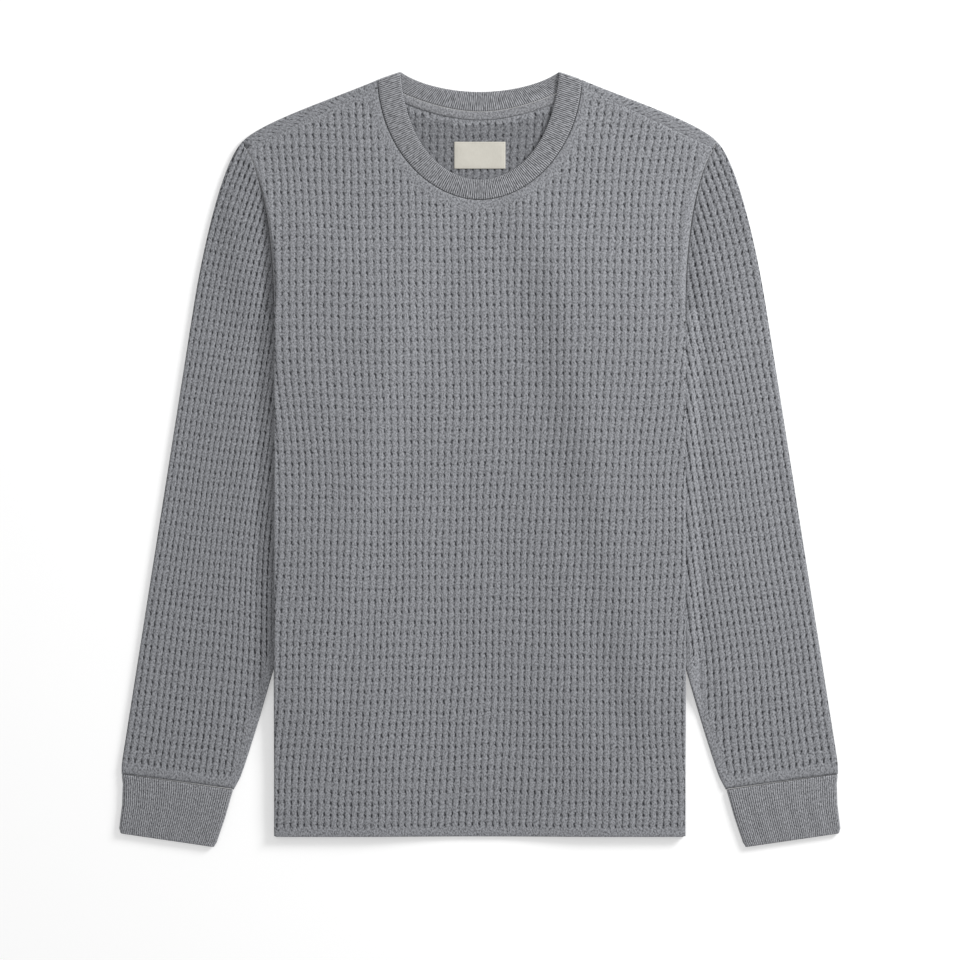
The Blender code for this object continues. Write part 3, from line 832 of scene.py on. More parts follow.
FRONT_WAVES = (
    # height   along x  along y  phase
    (0.00030,  19.0,    8.0,     0.4),
    (0.00022,  -11.0,   26.0,    2.1),
    (0.00018,  37.0,    -15.0,   4.0),
    (0.00012,  55.0,    44.0,    1.2),
)
FRONT_CREASES = (
    # from               to                 height    width   bend
    (0.178, 0.235,       0.120, 0.150,      0.00060,  0.010,  0.008),
    (0.186, 0.160,       0.110, 0.060,      0.00050,  0.014,  -0.006),
    (-0.180, 0.245,      -0.110, 0.170,     0.00055,  0.011,  -0.007),
    (-0.186, 0.120,      -0.130, 0.020,     0.00045,  0.013,  0.004),
    (0.060, 0.235,       0.085, 0.090,      0.00035,  0.012,  0.004),
    (-0.030, 0.060,      -0.050, -0.180,    0.00040,  0.016,  -0.008),
    (0.090, -0.060,      0.070, -0.260,     0.00045,  0.015,  0.006),
    (-0.120, -0.120,     -0.105, -0.310,    0.00040,  0.014,  0.005),
    (0.150, -0.180,      0.160, -0.330,     0.00035,  0.012,  -0.004),
)


def front_panel():
    columns, rows = stepped(*BODY_COLUMNS, COLUMN_STEPS), stepped(*BODY_ROWS, ROW_STEPS)
    piece = CutPiece(front_edges(), columns, rows, body_place)
    maker = Maker("front_panel_knit")
    x, y = piece.xy.T
    from_hem = y - HEM_Y
    to_neck, to_armhole, to_shoulder = seam_distances(piece.xy)
    # The pressed strips beside the seams and the hem, where the knit shows no pits
    plain = np.maximum.reduce((
        1 - smooth((to_neck - 0.0085) / 0.0030),
        1 - smooth((to_armhole - np.where(x > 0, 0.0065, 0.0022)) / np.where(x > 0, 0.0035, 0.0020)),
        1 - smooth((to_shoulder - 0.0025) / 0.0025),
        1 - smooth((from_hem - 0.0075) / 0.0020),
    ))
    calm = smooth(from_hem / 0.03) * smooth(to_neck / 0.02)
    calm = calm * smooth(to_armhole / 0.02) * smooth(to_shoulder / 0.02)
    surface = front_height(x, y) + calm * (waves(x, y, FRONT_WAVES) + creases(x, y, FRONT_CREASES))
    # The coverstitch's two ridges beside the collar, the rolled armhole, and the hem's sewn line
    stitched = 0.00035 * bead(to_neck, 0.0056, 0.0011) + 0.00018 * bead(to_neck, 0.0030, 0.0008)
    stitched += np.where(x > 0, 0.00085, 0.00030) * bead(to_armhole, 0.0055, 0.0030)
    stitched += 0.00020 * bead(to_shoulder, 0.0030, 0.0012)
    stitched -= 0.00022 * bead(from_hem, 0.0215, 0.0012)
    z = surface + stitched + relief(piece.weave[:, 0], piece.weave[:, 1], plain)
    tops_all = maker.add(np.column_stack((piece.xy, z)), piece.weave, plain)
    maker.faces.extend(tops_all[piece.quads].tolist())
    under = np.column_stack((piece.xy, surface - CLOTH))
    ends = maker.add(under[piece.loop], piece.weave[piece.loop], 1.0)

    def profile_of(i, name, before=False):
        at = piece.loop[i]
        if name == "side":
            made = side_points(maker, piece, i, -1.0, z[at], plain[at])
            # The part that is turned in lies on the sleeve, so it follows the front's own rise
            at_fold = front_height(*piece.xy[at])
            for k in made[6:-1]:
                point = maker.points[k]
                point[2] += float(front_height(point[0], point[1]) - at_fold)
                point[2] -= float(z[at] - at_fold) * 0.9
            return made
        if name == "armhole":
            depth, width, last = armhole_roll(piece.xy[at, 1])
            profile = arc_profile(float(width), float(depth), float(last), 6, CLOTH)
        else:
            profile = pressed_profile()
        return profile_points(maker, piece, i, profile, z[at], plain[at])

    stitch_edges(maker, piece, tops_all[piece.loop], ends, profile_of)
    inner = coarse_points(piece, 0.004)
    maker.fill(ends, maker.add(under[inner], piece.weave[inner], 1.0), upward=False)
    return maker


waffle = waffle_finish("heather_waffle_knit", 6.3)
front = front_panel().finish(waffle, "front_panel", "waffle_knit")


# ---------------------------------------------------------------------------------------------
# Back panel
# The same knit, lying flat on the table. Its sides turn up and in, and its shoulders fold over
# to the front, where the shoulder seams are. Its inside shows in the neck opening.

BACK_NECK_GAP = 0.0005
BACK_STEPS = (0.0, 0.25, 0.50, 0.75)
BACK_ROW_STEPS = (0.0, 0.5)


def back_edges():
    """The back's outline on the table, inside the rounding of its edges and folds."""
    armhole = seam("armhole", 80)
    armhole = armhole + left_of(armhole) * FOLD_RADIUS
    shoulder = seam("shoulder", 60)
    shoulder = (shoulder - left_of(shoulder) * FOLD_RADIUS)[::-1]
    shoulder[-1] += (-0.0007, 0.0005)
    neck = seam("back_neck_seam", 60)
    neck = neck + left_of(neck) * (BACK_NECK_GAP + EDGE_ROUND)
    return body_edges(armhole, shoulder, neck)


def shoulder_profile(reach):
    """The shoulder's fold, and the strip of back that lies on the front as far as the seam."""
    angles = np.radians(np.linspace(90.0, -90.0, 9)[1:])
    top = 2 * FOLD_RADIUS
    outer = [(FOLD_RADIUS * math.cos(a), FOLD_RADIUS * (1 - math.sin(a))) for a in angles]
    outer += [(-reach * k / 5, top) for k in range(1, 5)]
    outer += [(-reach * 0.97, top - 0.0002), (-reach, top - 0.0007)]
    inner = [(-reach, top - CLOTH), (-reach / 2, top - CLOTH), (0.0, top - CLOTH)]
    return outer + inner + [(FOLD_RADIUS - CLOTH, FOLD_RADIUS)]


def shoulder_points(maker, piece, i, before):
    """The shoulder's fold and strip at one place of the loop, drawn towards its place on the seam."""
    base = piece.xy[piece.loop[i]]
    side = math.copysign(1.0, base[0])
    share = piece.share[i] if side < 0 else 1 - piece.share[i]
    if before:
        share = 0.0 if side > 0 else 1.0
    to_seam = mix(NECK_POINT, ARM_POINT, share) * (side, 1.0) - base
    distance = np.linalg.norm(to_seam)
    profile = shoulder_profile(float(distance) - SEAM_GAP)
    made = profile_points(maker, piece, i, profile, 0.0, 0.30)
    for k, (out, up) in zip(made, profile):
        if out < 0:
            maker.points[k][:2] = (base - to_seam / distance * out).tolist()
    return made


def back_panel():
    columns, rows = stepped(*BODY_COLUMNS, BACK_STEPS), stepped(*BODY_ROWS, BACK_ROW_STEPS)
    piece = CutPiece(back_edges(), columns, rows, body_place)
    maker = Maker("back_panel_knit", flip=True)
    knit = relief(piece.weave[:, 0], piece.weave[:, 1], 0.0)
    folded = np.column_stack((np.abs(piece.xy[:, 0]), piece.xy[:, 1]))
    to_neck = nearest(folded, seam("back_neck_seam", 40))[0]
    plain = 1 - smooth((to_neck - 0.008) / 0.003)
    under_z = np.clip(RIB_HEIGHT - knit, 0.0, 0.0006) * 0.8
    under_z[piece.loop] = 0.0
    under = maker.add(np.column_stack((piece.xy, under_z)), piece.weave, RIGHT_SIDE)
    maker.faces.extend(under[piece.quads].tolist())
    inside_z = CLOTH + knit * 0.55 * (1 - plain) - 0.00005
    inside_z[piece.loop] = CLOTH
    upper = maker.add(np.column_stack((piece.xy, inside_z)), piece.weave, plain)
    maker.faces.extend(upper[piece.quads][:, ::-1].tolist())

    def profile_of(i, name, before=False):
        if name == "side":
            return side_points(maker, piece, i, 1.0, 0.0, RIGHT_SIDE)
        if name == "shoulder":
            return shoulder_points(maker, piece, i, before)
        profile = [(EDGE_ROUND * 0.7, 0.0003), (EDGE_ROUND, CLOTH / 2), (EDGE_ROUND * 0.7, CLOTH - 0.0003)]
        if name == "armhole":
            opened = float(smooth((piece.xy[piece.loop[i], 1] - ARMHOLE_FOOT_Y) / 0.035))
            rise = 2 * FOLD_RADIUS * (1 - opened)
            profile = [(FOLD_RADIUS * 0.6, rise * 0.1), (FOLD_RADIUS, rise * 0.5),
                       (FOLD_RADIUS, rise * 0.5 + 0.4 * CLOTH), (FOLD_RADIUS * 0.5, max(CLOTH, rise - CLOTH))]
        return profile_points(maker, piece, i, profile, 0.0, RIGHT_SIDE)

    stitch_edges(maker, piece, under[piece.loop], upper[piece.loop], profile_of)
    return maker


# The back's inside is dimmed with painted shade, for the shade in the neck opening
inside_shaded_waffle = waffle_finish("heather_waffle_shaded_inside", 6.3, inside=0.70)
back = back_panel().finish(inside_shaded_waffle, "back_panel", "waffle_knit")


# ---------------------------------------------------------------------------------------------
# Sleeves
# Each is one piece of the same knit sewn into a tube and pressed flat. Its columns follow the
# outer fold, and its underarm runs into the body's side fold.

SLEEVE_FOLD_RADIUS = 0.0023
SLEEVE_MIDDLE_THICKNESS = 0.0041
TUCKED_THICKNESS = 0.0035
# Where the curve of the cap meets the straight outer fold, and the fold's end at the cuff
CAP_FOOT = (0.2678, 0.1495)
SLEEVE_OUTER_END = (0.3378, -0.2952)
SLEEVE_GUIDE_SLOPE = 0.1584
SLEEVE_COLUMNS = (-4, 40)
SLEEVE_ROWS = (-3, 66)
SLEEVE_FIRST_ROW_Y = -0.3450
ROLL_STEPS = 6
# How far the cuff's seam draws the sleeve in at its outer and inner folds
SLEEVE_GATHER_OUTER = 0.0013
SLEEVE_GATHER_INNER = 0.0023
SLEEVE_STEPS = (0.0, 0.14, 0.30, 0.50, 0.70, 0.86)
SLEEVE_ROW_STEPS = (0.0, 0.20, 0.40, 0.60, 0.80)

# Column width in metres: at the cap, how much closer at the elbow, and how much wider at the cuff
SLEEVE_KNIT = {
    # name            cap      closer   from y  over    wider    from y  over
    "sleeve_left":   (0.00665, 0.00070, 0.190,  0.150,  0.00065, -0.150, 0.120),
    "sleeve_right":  (0.00560, 0.00055, 0.270,  0.230,  0.00110, -0.030, 0.240),
}
SLEEVE_WAVES = (
    # height   along x  along y  phase
    (0.00028,  14.0,    21.0,    0.9),
    (0.00020,  -33.0,   12.0,    2.6),
    (0.00016,  48.0,    37.0,    5.0),
)
# Depth of the dip where the sleeve goes down beside the body
SLEEVE_VALLEYS = {"sleeve_left": 0.0012, "sleeve_right": 0.0018}
# How much the knit's furrows and pits are deepened and darkened there: a little deeper relief, and
# painted shade for the body's shadow, strongest on the wearer's right sleeve, away from the light
SLEEVE_STRETCH_AND_SHADE = {"sleeve_left": 0.45, "sleeve_right": 0.90}
SLEEVE_CREASES = {
    "sleeve_left": (
        # from               to                 height    width   bend
        (0.210, 0.190,       0.250, 0.120,      0.00045,  0.009,  0.004),
        (0.205, 0.020,       0.275, -0.020,     0.00050,  0.012,  -0.004),
        (0.210, -0.060,      0.290, -0.095,     -0.00040, 0.012,  0.004),
        (0.250, -0.210,      0.320, -0.245,     0.00045,  0.010,  0.003),
        (0.225, -0.180,      0.255, -0.280,     0.00040,  0.010,  -0.004),
    ),
    "sleeve_right": (
        (0.238, 0.285,       0.208, 0.110,      0.00130,  0.014,  0.004),
        (0.224, 0.140,       0.214, -0.080,     0.00060,  0.012,  0.003),
        (0.205, 0.060,       0.270, 0.015,      0.00045,  0.012,  0.005),
        (0.215, -0.100,      0.300, -0.120,     0.00045,  0.011,  -0.003),
        (0.230, -0.190,      0.310, -0.215,     -0.00040, 0.011,  0.004),
        (0.265, -0.230,      0.300, -0.285,     0.00045,  0.009,  0.003),
    ),
}


def guide_x(y):
    """The line that the sleeve's columns follow: its outer fold, carried on up over the cap."""
    above = np.clip(y - CAP_FOOT[1], 0.0, 1.0)
    return CAP_FOOT[0] - SLEEVE_GUIDE_SLOPE * (y - CAP_FOOT[1]) - 0.9 * above**2


def sleeve_place(name):
    """A function that lays a sleeve's columns and rows on the table, square to its outer fold."""
    cap, closer, closer_y, closer_run, wider, wider_y, wider_run = SLEEVE_KNIT[name]

    def place(column, row):
        level = SLEEVE_FIRST_ROW_Y + row * ROW_PITCH
        across = column * (cap - closer * smooth((closer_y - level) / closer_run)
                           + wider * smooth((wider_y - level) / wider_run))
        slope = SLEEVE_GUIDE_SLOPE + 1.8 * np.clip(level - CAP_FOOT[1], 0.0, 0.12)
        y = level - across * slope * 0.9 + 0.0006 * np.sin(column * 0.5 + 0.7)
        return guide_x(y) - across + 0.0005 * np.sin(y * 31.0 + column * 0.21), y

    return place


def sleeve_outline():
    """Outer edge, inner edge, armhole and cuff seam of the wearer's left sleeve."""
    cap = seam("sleeve_cap_edge", 50)
    outer = np.concatenate((cap[:-1], np.linspace(cap[-1], SLEEVE_OUTER_END, 60)))
    outer = outer - left_of(outer) * SLEEVE_FOLD_RADIUS
    outer[:, 0] -= SLEEVE_GATHER_OUTER * np.exp(-((outer[:, 1] - outer[-1, 1]) / 0.006)**2)
    outer[0] += (-0.0010, 0.0008)
    inner = seam("sleeve_inner_edge", 90)
    inner = inner - left_of(inner) * (-TUCKED_THICKNESS / 2)
    inner[:, 0] += SLEEVE_GATHER_INNER * np.exp(-((inner[:, 1] - inner[-1, 1]) / 0.007)**2)
    inner[0] = (SIDE_SEAM_X + 0.0018, UNDERARM_Y - 0.0003)
    armhole = seam("armhole", 70, 0.0, 0.972)[::-1]
    armhole = armhole + left_of(armhole) * SEAM_GAP
    armhole[0] = outer[0]
    underarm = np.linspace(armhole[-1], inner[0], 24)
    outer_up = outer[::-1]
    cuff_line = np.linspace(inner[-1], outer_up[0], 40)
    return [
        ("cuff", cuff_line),
        ("outer", outer_up),
        ("armhole", np.concatenate((armhole, underarm[1:]))),
        ("inner", inner),
    ]


def sleeve_levels(x, y):
    """Height of the sleeve's underside and the thickness of the pressed tube."""
    inner = seam("sleeve_inner_edge", 200)[::-1]
    inner_x = np.interp(y, inner[:, 1], inner[:, 0])
    outer = np.concatenate((seam("sleeve_cap_edge", 50), [SLEEVE_OUTER_END]))[::-1]
    outer_x = np.interp(y, outer[:, 1], outer[:, 0])
    still_tucked = 1 - smooth((inner_x - 0.199) / 0.020)
    mouth_x = np.maximum(SIDE_FOLD_X + 2 * SEAM_GAP, inner_x + 0.006)
    share = np.clip((outer_x - x) / np.maximum(outer_x - mouth_x, 0.004), 0.0, 1.0)
    past = np.hypot(np.clip(x - 0.1975, 0.0, 1.0), np.clip(y - ARMHOLE_FOOT_Y, 0.0, 1.0))
    low = TUCKED_SLEEVE_Z * still_tucked * (1 - smooth(past / 0.012))
    thick = mix(2 * SLEEVE_FOLD_RADIUS, SLEEVE_MIDDLE_THICKNESS, smooth(share / 0.2))
    last = mix(2 * FOLD_RADIUS, TUCKED_THICKNESS, still_tucked)
    return low, mix(thick, last, smooth((share - 0.7) / 0.25))


def beside_body(x, y, to_armhole, width):
    """1 where the sleeve goes down beside the body, falling away over a width and towards the cuff."""
    to_side = np.hypot(np.clip(x - 0.1935, 0.0, 1.0), np.clip(y - 0.260, 0.0, 1.0))
    distance = np.minimum(to_side, np.where(y > 0.10, to_armhole, 1.0))
    return smooth((y + 0.23) / 0.06) * bead(distance, 0.0, width)


def sleeve_surface(name, piece, edges, low, thick):
    """Plainness of a sleeve's upper layer, its height without the knit's relief, and with it."""
    x, y = piece.xy.T
    to_cuff, to_outer, to_armhole, to_inner = (nearest(piece.xy, line)[0] for _, line in edges)
    plain = np.maximum.reduce((
        1 - smooth((to_cuff - 0.0075) / 0.0040),
        (1 - smooth((to_inner - 0.0050) / 0.0045)) * smooth((-0.150 - y) / 0.04),
        1 - smooth((to_armhole - 0.0010) / 0.0020),
    ))
    # Painted shade beside the body: plainness below 0 darkens the furrows and pits there, and deepens their
    # relief a little
    plain = plain - SLEEVE_STRETCH_AND_SHADE[name] * beside_body(x, y, to_armhole, 0.017) * (1 - plain)
    calm = smooth(to_outer / 0.012) * smooth(to_armhole / 0.015)
    calm = calm * smooth(to_cuff / 0.012) * smooth((x - 0.196) / 0.010)
    surface = low + thick + calm * (waves(x, y, SLEEVE_WAVES) + creases(x, y, SLEEVE_CREASES[name]))
    # The gathers swell just above the cuff, and every cut edge dips into its seam
    surface += 0.0004 * bead(to_cuff, 0.006, 0.004)
    surface -= 0.0006 * (1 - smooth(to_cuff / 0.0014)) + 0.0002 * (1 - smooth(to_armhole / 0.001))
    surface -= SLEEVE_VALLEYS[name] * beside_body(x, y, to_armhole, 0.012) * smooth((0.285 - y) / 0.07)
    knit = relief(piece.weave[:, 0], piece.weave[:, 1], np.maximum(plain, -0.2))
    knit *= (smooth(to_outer / 0.003) * 0.6 + 0.4) * mix(0.4, 1.0, smooth((x - 0.185) / 0.004))
    gathers = np.sin(piece.weave[:, 0] * 2 * np.pi * 0.37 + 1.0)
    gathers *= 0.00018 * bead(to_cuff, 0.0, 0.012) * smooth(to_cuff / 0.002)
    return plain, surface, np.maximum(surface + knit + gathers, low + 0.0010)


def sleeve(name, side):
    """The pressed tube: an upper and a lower layer, joined by rolls along its folds."""
    edges = sleeve_outline()
    columns, rows = stepped(*SLEEVE_COLUMNS, SLEEVE_STEPS), stepped(*SLEEVE_ROWS, SLEEVE_ROW_STEPS)
    piece = CutPiece(edges, columns, rows, sleeve_place(name))
    maker = Maker(name + "_knit", flip=side < 0)
    low_all, thick_all = sleeve_levels(*piece.xy.T)
    plain, surface, z = sleeve_surface(name, piece, edges, low_all, thick_all)
    tops_all = maker.add(np.column_stack((piece.xy, z)), piece.weave, plain)
    maker.faces.extend(tops_all[piece.quads].tolist())
    roof_z = np.maximum(surface, low_all + thick_all - 0.0013) - CLOTH
    loop, starts = piece.loop, piece.starts
    count = len(loop)
    flat, weave, tops = piece.xy[loop], piece.weave[loop], tops_all[loop]
    low, thick = low_all[loop], thick_all[loop]
    at_side = np.array([piece.edge_name(i) in ("outer", "inner") for i in range(count)])

    bottoms = maker.add(np.column_stack((flat, low)), weave, 0.0)
    under_top = maker.add(np.column_stack((flat, roof_z[loop])), weave, 1.0)
    over_bottom = maker.add(np.column_stack((flat, low + CLOTH)), weave, 1.0)
    reach = np.clip(thick / 2 - CLOTH, 0.0002, 1.0)[:, None]
    middle = maker.add(np.column_stack((flat + piece.outward * reach, low + thick / 2)), weave, 1.0)

    rolls = {}
    angles = np.radians(np.linspace(90.0, -90.0, ROLL_STEPS + 1)[1:-1])
    for i in range(count):
        if at_side[i] or (i in starts and at_side[i - 1]):
            out = piece.outward[i if at_side[i] else i - 1]
            wide, radius = thick[i] / 2, (z[loop[i]] - low[i]) / 2
            sideways = flat[i] + out * wide * np.cos(angles)[:, None]
            roll = np.column_stack((sideways, low[i] + radius * (1 + np.sin(angles))))
            walked = radius * (math.pi / 2 - angles)[:, None]
            rolls[i] = maker.add(roll, weave[i] + out * walked / piece.scale[loop[i]], plain[loop[i]])
    for i in range(count):
        j = (i + 1) % count
        if at_side[i]:
            a, b = [tops[i], *rolls[i], bottoms[i]], [tops[j], *rolls[j], bottoms[j]]
            maker.faces.extend([a[k], a[k + 1], b[k + 1], b[k]] for k in range(len(a) - 1))
        else:
            maker.faces.append([tops[i], under_top[i], under_top[j], tops[j]])
            maker.faces.append([over_bottom[i], bottoms[i], bottoms[j], over_bottom[j]])
    for i in starts:
        ring = [tops[i], *rolls[i], bottoms[i], over_bottom[i], middle[i], under_top[i]]
        maker.faces.append(ring[::-1] if at_side[i] else ring)

    inner = coarse_points(piece, 0.005)
    spread, knit = piece.xy[inner], piece.weave[inner]
    inner_low = low_all[inner]
    lining = [at_side[i] and i not in starts for i in range(count)]
    roof = [middle[i] if lining[i] else under_top[i] for i in range(count)]
    floor = [middle[i] if lining[i] else over_bottom[i] for i in range(count)]
    under_points = maker.add(np.column_stack((spread, inner_low)), knit, 0.0)
    roof_points = maker.add(np.column_stack((spread, roof_z[inner])), knit, 1.0)
    floor_points = maker.add(np.column_stack((spread, inner_low + CLOTH)), knit, 1.0)
    maker.fill(bottoms, under_points, upward=False)
    maker.fill(roof, roof_points, upward=False)
    maker.fill(floor, floor_points, upward=True)
    for i in starts:
        for j, order in (((i + 1) % count, -1), (i - 1, 1)):
            if lining[j]:
                maker.faces.append([middle[i], under_top[i], middle[j]][::order])
                maker.faces.append([over_bottom[i], middle[i], middle[j]][::order])
    if side < 0:
        maker.mirror()
    return maker


# This knit is darkened with painted shade up each sleeve's cap
sleeve_waffle = waffle_finish("heather_waffle_sleeve", 5.7, furrows=0.14, cap=0.075)
for name, side in (("sleeve_left", 1.0), ("sleeve_right", -1.0)):
    tube = sleeve(name, side).finish(sleeve_waffle, name, "waffle_knit")


# ---------------------------------------------------------------------------------------------
# Cuffs
# A tube of one-by-one rib, doubled over at the hand. Its two cut edges are gathered into the
# seam with the sleeve, so it spreads a little there.

RIB_CLOTH = 0.0024
CUFF_FOLD_RADIUS = 0.0027
CUFF_RIBS = 104
CUFF_RIB_STEPS = 6
RIB_RELIEF = 0.00030
CUFF_SECTIONS = np.array((
    # outer edge        inner edge
    (0.3362, -0.2962,   0.2318, -0.3112),
    (0.3350, -0.3050,   0.2341, -0.3190),
    (0.3356, -0.3240,   0.2392, -0.3370),
    (0.3388, -0.3465,   0.2470, -0.3600),
    (0.3378, -0.3506,   0.2492, -0.3636),
))
# Places down the cuff and up its inside, in sections of the table, and (inset, depth) round its end
CUFF_ROWS = (0.0, 0.10, 0.25, 0.50, 0.75, 1.0, 1.3, 1.6, 2.0, 2.3, 2.6, 2.85, 3.0, 3.3, 3.6, 3.85, 4.0)
CUFF_INSIDE_ROWS = (4.0, 2.0, 0.0)
CUFF_END_ROUND = ((0.0004, 0.0006), (0.0012, 0.0009), (0.0020, 0.0006))
CUFF_SEAM_RISE = 0.0005
RIB_LIGHT = (0.385, 0.391, 0.413)
RIB_DARK = (0.045, 0.046, 0.051)
RIB_SHADE = 0.80


def rib_finish(name, rib_width):
    """One-by-one rib: a narrow raised rib at each whole column and a furrow between.

    The weave's rows are millimetres along the rib here, and the rib's width is in millimetres.
    """
    finish = Finish(name, CLOTH_ROUGHNESS, CLOTH_SHEEN)
    column, along = finish.weave()
    across = column * rib_width
    furrow = ((column + 0.5).from_whole().squared() / 0.055).bell()
    stitch = (along * 0.62 + column.floor() * 0.37).from_whole().squared()
    uneven = finish.noise(finish.vector(across, along), 0.06, 2.0)
    # The furrows between the ribs are darkened with painted shade, for the shade that falls in them, on top
    # of the ribs' relief
    shade = RIB_SHADE - furrow * (0.56 + uneven * 0.16) - stitch * 0.16
    finish.colour(shade + finish.heather(across, along) * 0.44, RIB_DARK, RIB_LIGHT)
    finish.bump(1.0 - furrow - stitch * 0.4, 0.0005, 0.5)
    return finish.material


def ring_sections(sections, rows):
    """Outer and inner edges of a flattened tube, between the sections of its table."""
    index = np.arange(len(sections))
    return np.column_stack([np.interp(rows, index, sections[:, k]) for k in range(4)])


def flat_ring(edges, radius, share):
    """Places on a flattened tube's section and their outsides, from their shares of the way round.

    The way starts on top, at the outer fold, and goes inwards. Of its four stretches, 0 and 2 are
    the straight ones and 1 and 3 are round the folds.
    """
    outer, inner = edges[:2], edges[2:]
    width = np.linalg.norm(inner - outer)
    inwards = (inner - outer) / width
    straight = width - 2 * radius
    arc = math.pi * radius
    walked = (share % 1.0) * 2 * (straight + arc)
    start = outer + inwards * radius
    end = inner - inwards * radius
    flat = np.empty((len(share), 2))
    up = np.empty(len(share))
    out = np.zeros((len(share), 3))
    for lower, upper, kind in ((0, straight, 0), (straight, straight + arc, 1),
                               (straight + arc, 2 * straight + arc, 2), (2 * straight + arc, 1e9, 3)):
        here = (walked >= lower) & (walked < upper)
        t = walked[here] - lower
        if kind in (0, 2):
            along = t if kind == 0 else straight - t
            flat[here] = start + inwards * along[:, None]
            up[here] = 2 * radius if kind == 0 else 0.0
            out[here, 2] = 1.0 if kind == 0 else -1.0
        else:
            angle = math.pi / 2 - t / radius
            centre, facing, turn = (end, inwards, 1.0) if kind == 1 else (start, -inwards, -1.0)
            flat[here] = centre + facing * (radius * np.cos(angle))[:, None]
            up[here] = radius + turn * radius * np.sin(angle)
            out[here, :2] = facing * np.cos(angle)[:, None]
            out[here, 2] = turn * np.sin(angle)
    return np.column_stack((flat, up)), out


def close_tube(maker, loops):
    """Faces between loops of points, the last joined to the first."""
    for lower, upper in zip(loops, loops[1:] + loops[:1]):
        ahead, above = np.roll(lower, -1), np.roll(upper, -1)
        maker.faces.extend(np.column_stack((lower, ahead, above, upper)).tolist())


def cuff(name, side):
    stations = np.arange(CUFF_RIBS * CUFF_RIB_STEPS)
    share = stations / len(stations)
    column = stations / CUFF_RIB_STEPS
    rib = RIB_RELIEF * (np.cos(2 * np.pi * column) - 1)
    maker = Maker(name + "_rib", flip=side > 0)
    sections = ring_sections(CUFF_SECTIONS, np.array(CUFF_ROWS))
    sections[0, 1::2] += CUFF_SEAM_RISE
    lengths = np.linalg.norm(np.diff(sections[:, :2], axis=0), axis=1)
    lengths = np.concatenate(([0.0], np.cumsum(lengths)))
    loops = []
    for edges, walked in zip(sections, lengths):
        points, out = flat_ring(edges, CUFF_FOLD_RADIUS, share)
        swell = 0.0003 * math.sin(math.pi * min(1.0, walked / 0.055)) - 0.0004 * (1 - smooth(walked / 0.002))
        wave = 0.00025 * np.sin(column * 0.7 + walked * 40) * smooth(walked / 0.01)
        lift = np.where(out[:, 2] > 0, swell + rib + wave, rib)
        points = points + out * lift[:, None]
        loops.append(maker.add(points, np.column_stack((column, np.full(len(column), walked * 1000))), 0.0))
    # Round the folded end, and back up the tube's inside
    folded = sections[-1]
    along = (folded[:2] - sections[-3][:2]) / np.linalg.norm(folded[:2] - sections[-3][:2])
    rings = [(folded, inset, depth, (lengths[-1] + inset) * 1000) for inset, depth in CUFF_END_ROUND]
    for row, edges in zip(CUFF_INSIDE_ROWS, ring_sections(CUFF_SECTIONS, np.array(CUFF_INSIDE_ROWS))):
        rings.append((edges, RIB_CLOTH, 0.0, 60.0 + row))
    for edges, inset, depth, row in rings:
        points, out = flat_ring(edges, CUFF_FOLD_RADIUS, share)
        points = points - out * inset
        points[:, :2] += along * depth
        loops.append(maker.add(points, np.column_stack((column, np.full(len(column), row))), 0.0))
    close_tube(maker, loops)
    if side < 0:
        maker.mirror()
    return maker


cuff_rib = rib_finish("heather_cuff_rib", 2.0)
for name, side in (("cuff_left", 1.0), ("cuff_right", -1.0)):
    tube = cuff(name, side).finish(cuff_rib, name, "rib_knit")


# ---------------------------------------------------------------------------------------------
# Neckband
# A ring of the same rib, doubled over at the neck's edge and sewn on by both cut edges. It folds
# over at the shoulders, so the front shows its right side and the back its inside.

BAND_FRONT_Z = 0.0032
BAND_SHOULDER_Z = 0.0046
BAND_RIB_WIDTH = 0.00186
BAND_RIB_STEPS = 6
BAND_RELIEF = 0.8 * RIB_RELIEF
# Millimetres of rib from one row of the section to the next, near enough
BAND_STEP_LENGTH = 19.0 / 9
BAND_SECTION = (
    # share of the width from the seam, height in half cloths, share of the relief
    (0.0, -0.6, 0.0), (0.0, 0.2, 0.0), (0.04, 0.75, 0.6), (0.12, 1.0, 1.0), (0.35, 1.05, 1.0),
    (0.60, 1.05, 1.0), (0.84, 0.98, 1.0), (0.93, 0.85, 1.0), (0.985, 0.45, 0.8), (1.0, 0.0, 0.7),
    (0.985, -0.45, 0.8), (0.93, -0.85, 1.0), (0.75, -1.0, 1.0), (0.40, -1.0, 1.0), (0.08, -0.95, 0.8),
)


def near_shoulder(name, distance):
    """Point on a neck seam, this far from its end at the shoulder."""
    line = seam(name, 801)
    if name.startswith("back"):
        line = line[::-1]
    far = np.linalg.norm(line - line[-1], axis=1)
    return line[int(np.argmin(np.abs(far - distance)))]


